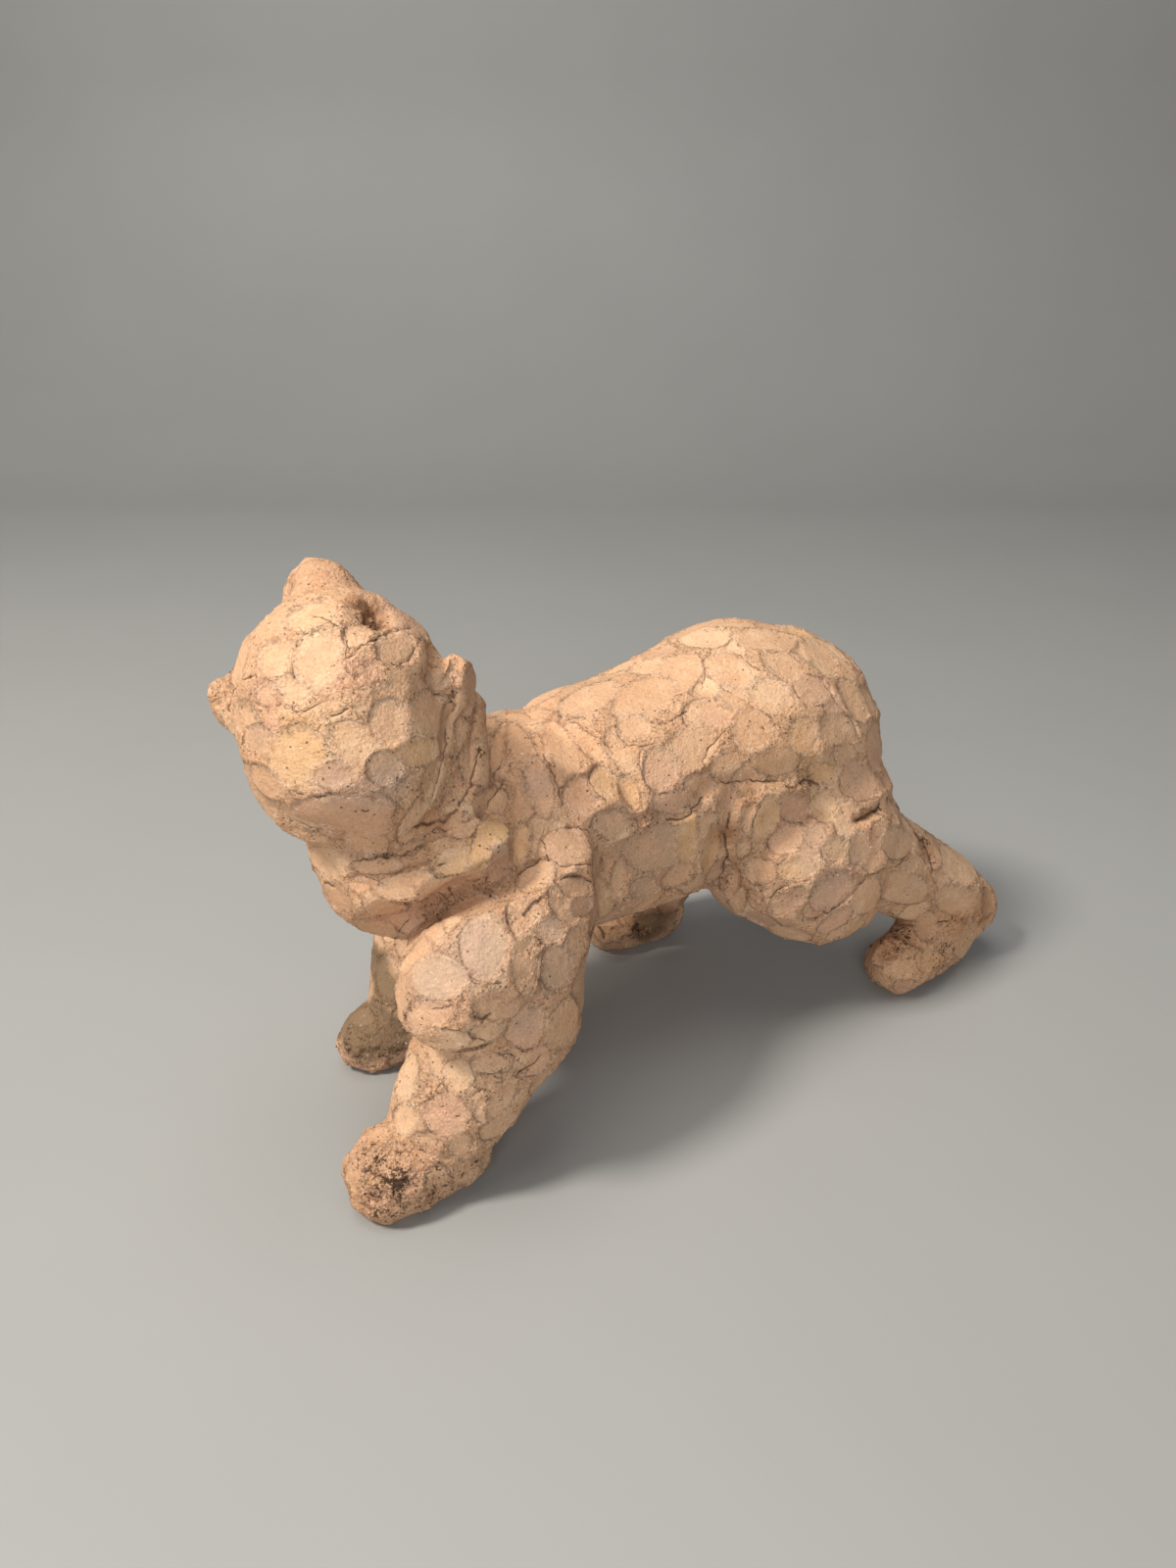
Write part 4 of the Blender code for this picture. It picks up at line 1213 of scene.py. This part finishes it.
def terracotta():
    nodes = Nodes("terracotta")
    place = nodes.add("ShaderNodeTexCoord", {}, {}, "Object")
    names = ("edge", "lip", "ground", "tone", "crack", "gouge", "hollow", "rough")
    edge, lip, ground, tone, away, gouge, hollow, rough = [nodes.field(name) for name in names]
    stroke = nodes.field("stroke", "Vector")
    # dark, rust and olive: real stains, with painted shade among them
    dirt = nodes.field("dirt", "Vector")
    blush = nodes.field("blush", "Vector")
    darkStainAndShade, rustStainAndShade, oliveStainAndShade = [nodes.part(dirt, axis) for axis in "XYZ"]
    ochreStain, mauveStain, pinkStain = [nodes.part(blush, axis) for axis in "XYZ"]
    wide, middling, small, fine = [nodes.noise(place, *values) for values in clayLook["noises"].values()]
    along = nodes.add("ShaderNodeVectorMath", {"operation": "MULTIPLY"}, {0: stroke, 1: clayLook["drag"]})
    drag = nodes.noise(along, 1.1, 3.0)

    def stained(color, name, stainAndShade, noise):
        fray, low, high, strength = clayLook["stained"][name]
        return nodes.mix((stainAndShade + noise * fray).rise(low, high) * strength, color, clayLook[name])

    tint = tone + (middling - 0.5) * 0.9
    color = nodes.add("ShaderNodeValToRGB", {"stops": clayLook["tones"]}, {"Fac": tint})
    color = nodes.mix(middling.rise(0.50, 0.70) * 0.40, color, clayLook["pale"])
    color = nodes.mix(wide.rise(0.46, 0.66) * 0.50, color, clayLook["ruddy"])
    color = stained(color, "ochre", ochreStain, middling)
    color = stained(color, "pink", pinkStain, small)
    color = stained(color, "mauve", mauveStain, middling)
    # painted highlight: paler clay along the scoop rims, where light catches the raised edges, with some
    # pale dusty clay
    inner = edge.fall(0.1, 1.9) * (1.0 - ground)
    color = nodes.mix(inner * small.rise(0.40, 0.62) * 0.50, color, clayLook["highlightAndSpeck"])
    color = nodes.mix((ground + rough * 0.6) * small.rise(0.42, 0.60) * 0.40, color, clayLook["ruddy"])
    coarse = edge.fall(0.4, 2.4) * 0.5 + rough * 0.6 + ground * 0.3 + 0.55     # scoop floors are smoother
    color = nodes.mix(small.fall(0.34, 0.46) * coarse * 0.32, color, clayLook["shadeAndSpeck"])
    color = nodes.mix(fine.rise(0.50, 0.60) * coarse * 0.34, color, clayLook["shadeAndSpeck"])
    color = nodes.mix(fine.fall(0.36, 0.46) * coarse * 0.30, color, clayLook["highlightAndSpeck"])
    # painted shade: the clay is darkened in the form's hollows and in the pressed gouges of eyes, ears and
    # creases
    color = nodes.mix(hollow.rise(0.8, 4.5) * 0.50, color, clayLook["shadeAndSpeck"])
    color = nodes.mix(gouge.rise(0.6, 3.0) * 0.55, color, clayLook["shadeAndSpeck"])
    # rust and olive are real stains, and also painted shade on the far paws under the body
    color = stained(color, "rust", rustStainAndShade, small)
    color = stained(color, "olive", oliveStainAndShade, small)

    ragged = small * 0.9 + fine * 0.6
    broken = middling * 0.6 + small * 0.6
    # outline and border are painted shadow lines along the scoop borders, where a lip overhangs
    outline = (edge + ragged * 0.8).fall(0.44, 0.86) * (broken + (lip - 0.5) * 0.12).rise(0.50, 0.66)
    borderShadow = (edge + ragged * 0.8).fall(0.46, 0.80) * (lip * 0.55 + broken).rise(0.86, 1.02)
    crack = (away + ragged * 1.1).fall(1.10, 1.70) * broken.rise(0.47, 0.60)
    wander = nodes.noise(place, 7.5, 4.0, 0.60, 0.8) - 0.5
    tear = wander.size().fall(0.002, 0.009)
    tear = tear * (broken + ground * 0.12 + edge.fall(0.5, 3.0) * 0.14 + rough * 0.2).rise(0.72, 0.80)
    # line: the painted shadow lines along the scoop borders, together with the real cracks and tears
    line = (borderShadow * 0.8).larger(crack).larger(tear * 0.8)
    # dark stain and painted shade: real dirt on the paws and eye, painted shade in crevices and on the
    # shaded paws
    sootAndShade = (darkStainAndShade * 0.40 + small * 1.0 + fine * 0.8).rise(1.13, 1.22) * darkStainAndShade.rise(0.02, 0.2)
    # painted shadow along the scoop borders and just inside the lip side of each scoop edge
    color = nodes.mix(outline * 0.50, color, clayLook["shadeAndSpeck"])
    color = nodes.mix((edge + ragged * 0.8).fall(0.6, 1.5) * lip * 0.35, color, clayLook["shadeAndSpeck"])
    color = nodes.mix(darkStainAndShade * small.rise(0.35, 0.6) * 0.38, color, clayLook["shadeAndSpeck"])
    color = nodes.mix(sootAndShade * 0.88, color, clayLook["dark"])
    color = nodes.mix(line * 0.78, color, clayLook["dark"])
    pitAway, pitNumber = nodes.dots(place, 1.7)
    pits = (pitAway + fine * 0.55 - pitNumber * 0.12).fall(0.30, 0.42)
    pits = pits * (pitNumber + rough * 0.38 + ground * 0.10 + (small - 0.5) * 1.2).rise(0.90, 0.96)
    grainAway, grainNumber = nodes.dots(place, 1.4)
    grains = (grainAway + fine * 0.3).fall(0.26, 0.38) * grainNumber.rise(0.76, 0.82)
    fleckAway, fleckNumber = nodes.dots(place, 9.0)
    flecks = (fleckAway + fine * 0.04).fall(0.05, 0.09) * fleckNumber.rise(0.80, 0.84)
    color = nodes.mix(grains * 0.45, color, clayLook["grog"])
    color = nodes.mix(flecks * 0.8, color, clayLook["grog"])
    color = nodes.mix(pits * 0.70, color, clayLook["dark"])

    scored = drag * (middling + rough * 0.3).rise(0.42, 0.58)
    height = (fine * coarse * 0.62 + small * 0.60 + middling * 0.60 + scored * 0.20 + grains * 0.07
              - pits * 0.40 - outline * 0.14 - line * 0.38 + (ground + rough) * small * 0.60)
    bump = nodes.add("ShaderNodeBump", {}, {"Height": height, "Strength": 1.0, "Distance": clayLook["bump"]})
    nodes.connect(color, nodes.shader.inputs["Base Color"])
    least, more = clayLook["dull"]
    nodes.connect(least + small * more, nodes.shader.inputs["Roughness"])
    nodes.connect(bump, nodes.shader.inputs["Normal"])
    nodes.shader.inputs["Specular IOR Level"].default_value = clayLook["shine"]
    return nodes.material


# crumbs of clay and grog, thickest where the clay is rough: number for a square metre, radii and seed
crumbs = {
    "Density": 130000.0,
    "Smallest": 0.00012,
    "Largest": 0.00060,
    "Seed": 7,
}
crumbShape = {
    "low": (0.7, 0.6, 0.5),      # a crumb's sides, in its radius
    "high": (1.5, 1.1, 0.9),
    "turn": (6.3, 6.3, 6.3),
}
# the chance of a crumb: everywhere, on rough clay and between the scoops
crumbChance = {"everywhere": 0.04, "rough": 0.9, "between": 0.35}


def crumbTree(material):
    tree = bpy.data.node_groups.new("clayCrumbs", "GeometryNodeTree")
    tree.interface.new_socket("Geometry", in_out="INPUT", socket_type="NodeSocketGeometry")
    for name, value in crumbs.items():
        kind = "NodeSocketInt" if isinstance(value, int) else "NodeSocketFloat"
        tree.interface.new_socket(name, in_out="INPUT", socket_type=kind)
    tree.interface.new_socket("Geometry", in_out="OUTPUT", socket_type="NodeSocketGeometry")

    def add(kind, settings, values):
        node = tree.nodes.new(kind)
        for name, value in settings.items():
            setattr(node, name, value)
        for name, value in values.items():
            if isinstance(value, bpy.types.NodeSocket):
                tree.links.new(value, node.inputs[name])
            else:
                node.inputs[name].default_value = value
        return node

    given = add("NodeGroupInput", {}, {}).outputs
    chance = add("GeometryNodeInputNamedAttribute", {"data_type": "FLOAT"}, {"Name": "crumb"})
    amount = add("ShaderNodeMath", {"operation": "MULTIPLY"},
                 {0: given["Density"], 1: chance.outputs["Attribute"]})
    spots = add("GeometryNodeDistributePointsOnFaces", {},
                {"Mesh": given["Geometry"], "Density": amount.outputs[0], "Seed": given["Seed"]})
    grain = add("GeometryNodeMeshIcoSphere", {}, {"Radius": 1.0, "Subdivisions": 1})
    size = add("FunctionNodeRandomValue", {"data_type": "FLOAT"},
               {2: given["Smallest"], 3: given["Largest"], "Seed": given["Seed"]})
    shape = add("FunctionNodeRandomValue", {"data_type": "FLOAT_VECTOR"},
                {0: crumbShape["low"], 1: crumbShape["high"], "Seed": given["Seed"]})
    scale = add("ShaderNodeVectorMath", {"operation": "SCALE"},
                {0: shape.outputs[0], "Scale": size.outputs[1]})
    turn = add("FunctionNodeRandomValue", {"data_type": "FLOAT_VECTOR"},
               {0: (0.0, 0.0, 0.0), 1: crumbShape["turn"], "Seed": given["Seed"]})
    placed = add("GeometryNodeInstanceOnPoints", {},
                 {"Points": spots.outputs["Points"], "Instance": grain.outputs["Mesh"],
                  "Rotation": turn.outputs[0], "Scale": scale.outputs[0]})
    real = add("GeometryNodeRealizeInstances", {}, {"Geometry": placed.outputs["Instances"]})
    clay = add("GeometryNodeSetMaterial", {},
               {"Geometry": real.outputs["Geometry"], "Material": material})
    add("NodeGroupOutput", {}, {"Geometry": clay.outputs["Geometry"]})
    return tree


def crumbMesh(skinData, material):
    # the crumbs scattered over the skin, as one plain mesh
    helper = bpy.data.objects.new("crumbHelper", skinData)
    bpy.context.scene.collection.objects.link(helper)
    modifier = helper.modifiers.new("crumbs", "NODES")
    modifier.node_group = crumbTree(material)
    for item in modifier.node_group.interface.items_tree:
        if item.in_out == "INPUT" and item.name in crumbs:
            modifier[item.identifier] = crumbs[item.name]
    depsgraph = bpy.context.evaluated_depsgraph_get()
    made = bpy.data.meshes.new_from_object(helper.evaluated_get(depsgraph), preserve_all_data_layers=True,
                                           depsgraph=depsgraph)
    bpy.data.objects.remove(helper)
    points = np.clip(readPoints(made), np.array(cadBox[0]), np.array(cadBox[1]))
    writePoints(made, points)
    return made


def makeObject(name, mesh, *materials):
    made = bpy.data.objects.new(name, mesh)
    mesh.materials.clear()
    for material in materials:
        mesh.materials.append(material)
    bpy.context.scene.collection.objects.link(made)
    return made


def makeFloor():
    # a pale sweep: flat under the figure, rising softly into a wall behind it
    sweep = {
        "near": -5.0,
        "bend": 1.0,
        "radius": 0.5,
        "steps": 12,
        "top": 2.4,
        "half": 5.0,
        "turn": -35.4,
        "colors": ((0.31, 0.31, 0.30), (0.34, 0.34, 0.33)),
        "cloud": 180,
        "roughness": 0.55,
    }
    radius = sweep["radius"]
    outline = [(sweep["near"], 0.0), (sweep["bend"], 0.0)]
    for step in range(1, sweep["steps"] + 1):
        angle = step / sweep["steps"] * math.pi / 2
        outline.append((sweep["bend"] + math.sin(angle) * radius, (1 - math.cos(angle)) * radius))
    outline.append((sweep["bend"] + radius, sweep["top"]))
    turned = Matrix.Rotation(math.radians(sweep["turn"]), 3, "Z")
    mesh = bmesh.new()
    rows = []
    for side in (-sweep["half"], sweep["half"]):
        rows.append([mesh.verts.new(turned @ Vector((side, away, up))) for away, up in outline])
    for index in range(len(outline) - 1):
        face = mesh.faces.new((rows[0][index], rows[1][index], rows[1][index + 1], rows[0][index + 1]))
        face.smooth = True
    data = bpy.data.meshes.new("floor")
    mesh.to_mesh(data)
    mesh.free()
    nodes = Nodes("paleFloor")
    place = nodes.add("ShaderNodeTexCoord", {}, {}, "Object")
    cloud = nodes.noise(place, sweep["cloud"], 3.0)
    nodes.connect(nodes.mix(cloud, *sweep["colors"]), nodes.shader.inputs["Base Color"])
    nodes.shader.inputs["Roughness"].default_value = sweep["roughness"]
    floor = makeObject("floor", data, nodes.material)


def makeLights():
    lights = {
        # where each one stands from the figure, its width, watts and colour
        "window": ((-1.06, 0.14, 1.36), 0.34, 27.5, (1.0, 0.95, 0.87)),
        "ceiling": ((-0.2, 0.05, 1.8), 1.3, 13.0, (1.0, 0.96, 0.92)),
        "front": ((-0.96, -1.10, 0.62), 0.8, 9.5, (0.98, 0.98, 1.0)),
    }
    aim = Vector((0.0, 0.0, 0.08))
    sky = {"Color": (0.80, 0.84, 0.88, 1.0), "Strength": 0.22}
    for name, (place, width, watts, color) in lights.items():
        data = bpy.data.lights.new(name, "AREA")
        data.shape = "DISK"
        data.size = width
        data.energy = watts
        data.color = color
        light = bpy.data.objects.new(name, data)
        light.location = place
        light.rotation_euler = (aim - Vector(place)).to_track_quat("-Z", "Y").to_euler()
        bpy.context.scene.collection.objects.link(light)
    world = bpy.data.worlds.new("studio")
    world.use_nodes = True
    for name, value in sky.items():
        world.node_tree.nodes["Background"].inputs[name].default_value = value
    bpy.context.scene.world = world
    bpy.context.scene.view_settings.view_transform = "Standard"


def makeCamera():
    data = bpy.data.cameras.new("camera")
    data.sensor_fit = "VERTICAL"
    data.sensor_height = camera["sensor"]
    data.lens = camera["focus"] * camera["sensor"] / camera["picture"][1]
    data.clip_start = 0.01
    eye = bpy.data.objects.new("camera", data)
    eye.location = camera["place"]
    eye.rotation_euler = (math.radians(90 - camera["down"]), 0, math.radians(camera["turn"]))
    bpy.context.scene.collection.objects.link(eye)
    bpy.context.scene.camera = eye


makeCamera()
makeLights()
makeFloor()
skinData = skinMesh()
fitToFrame(skinData)
skinData.shade_smooth()
rough = getField(skinData, "rough")
between = getField(skinData, "ground")
chance = crumbChance["everywhere"] + rough * crumbChance["rough"] + between * crumbChance["between"]
setField(skinData, "crumb", np.clip(chance, 0, 1))
clay = terracotta()
crumbData = crumbMesh(skinData, clay)
print("crumbs scattered,", len(crumbData.polygons), "faces")
skin = makeObject("clay_skin", skinData, clay)
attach(skin, "root")
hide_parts("bear_figure")
loose = makeObject("clay_crumbs", crumbData, clay)
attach(loose, "root")
print("skin finished")
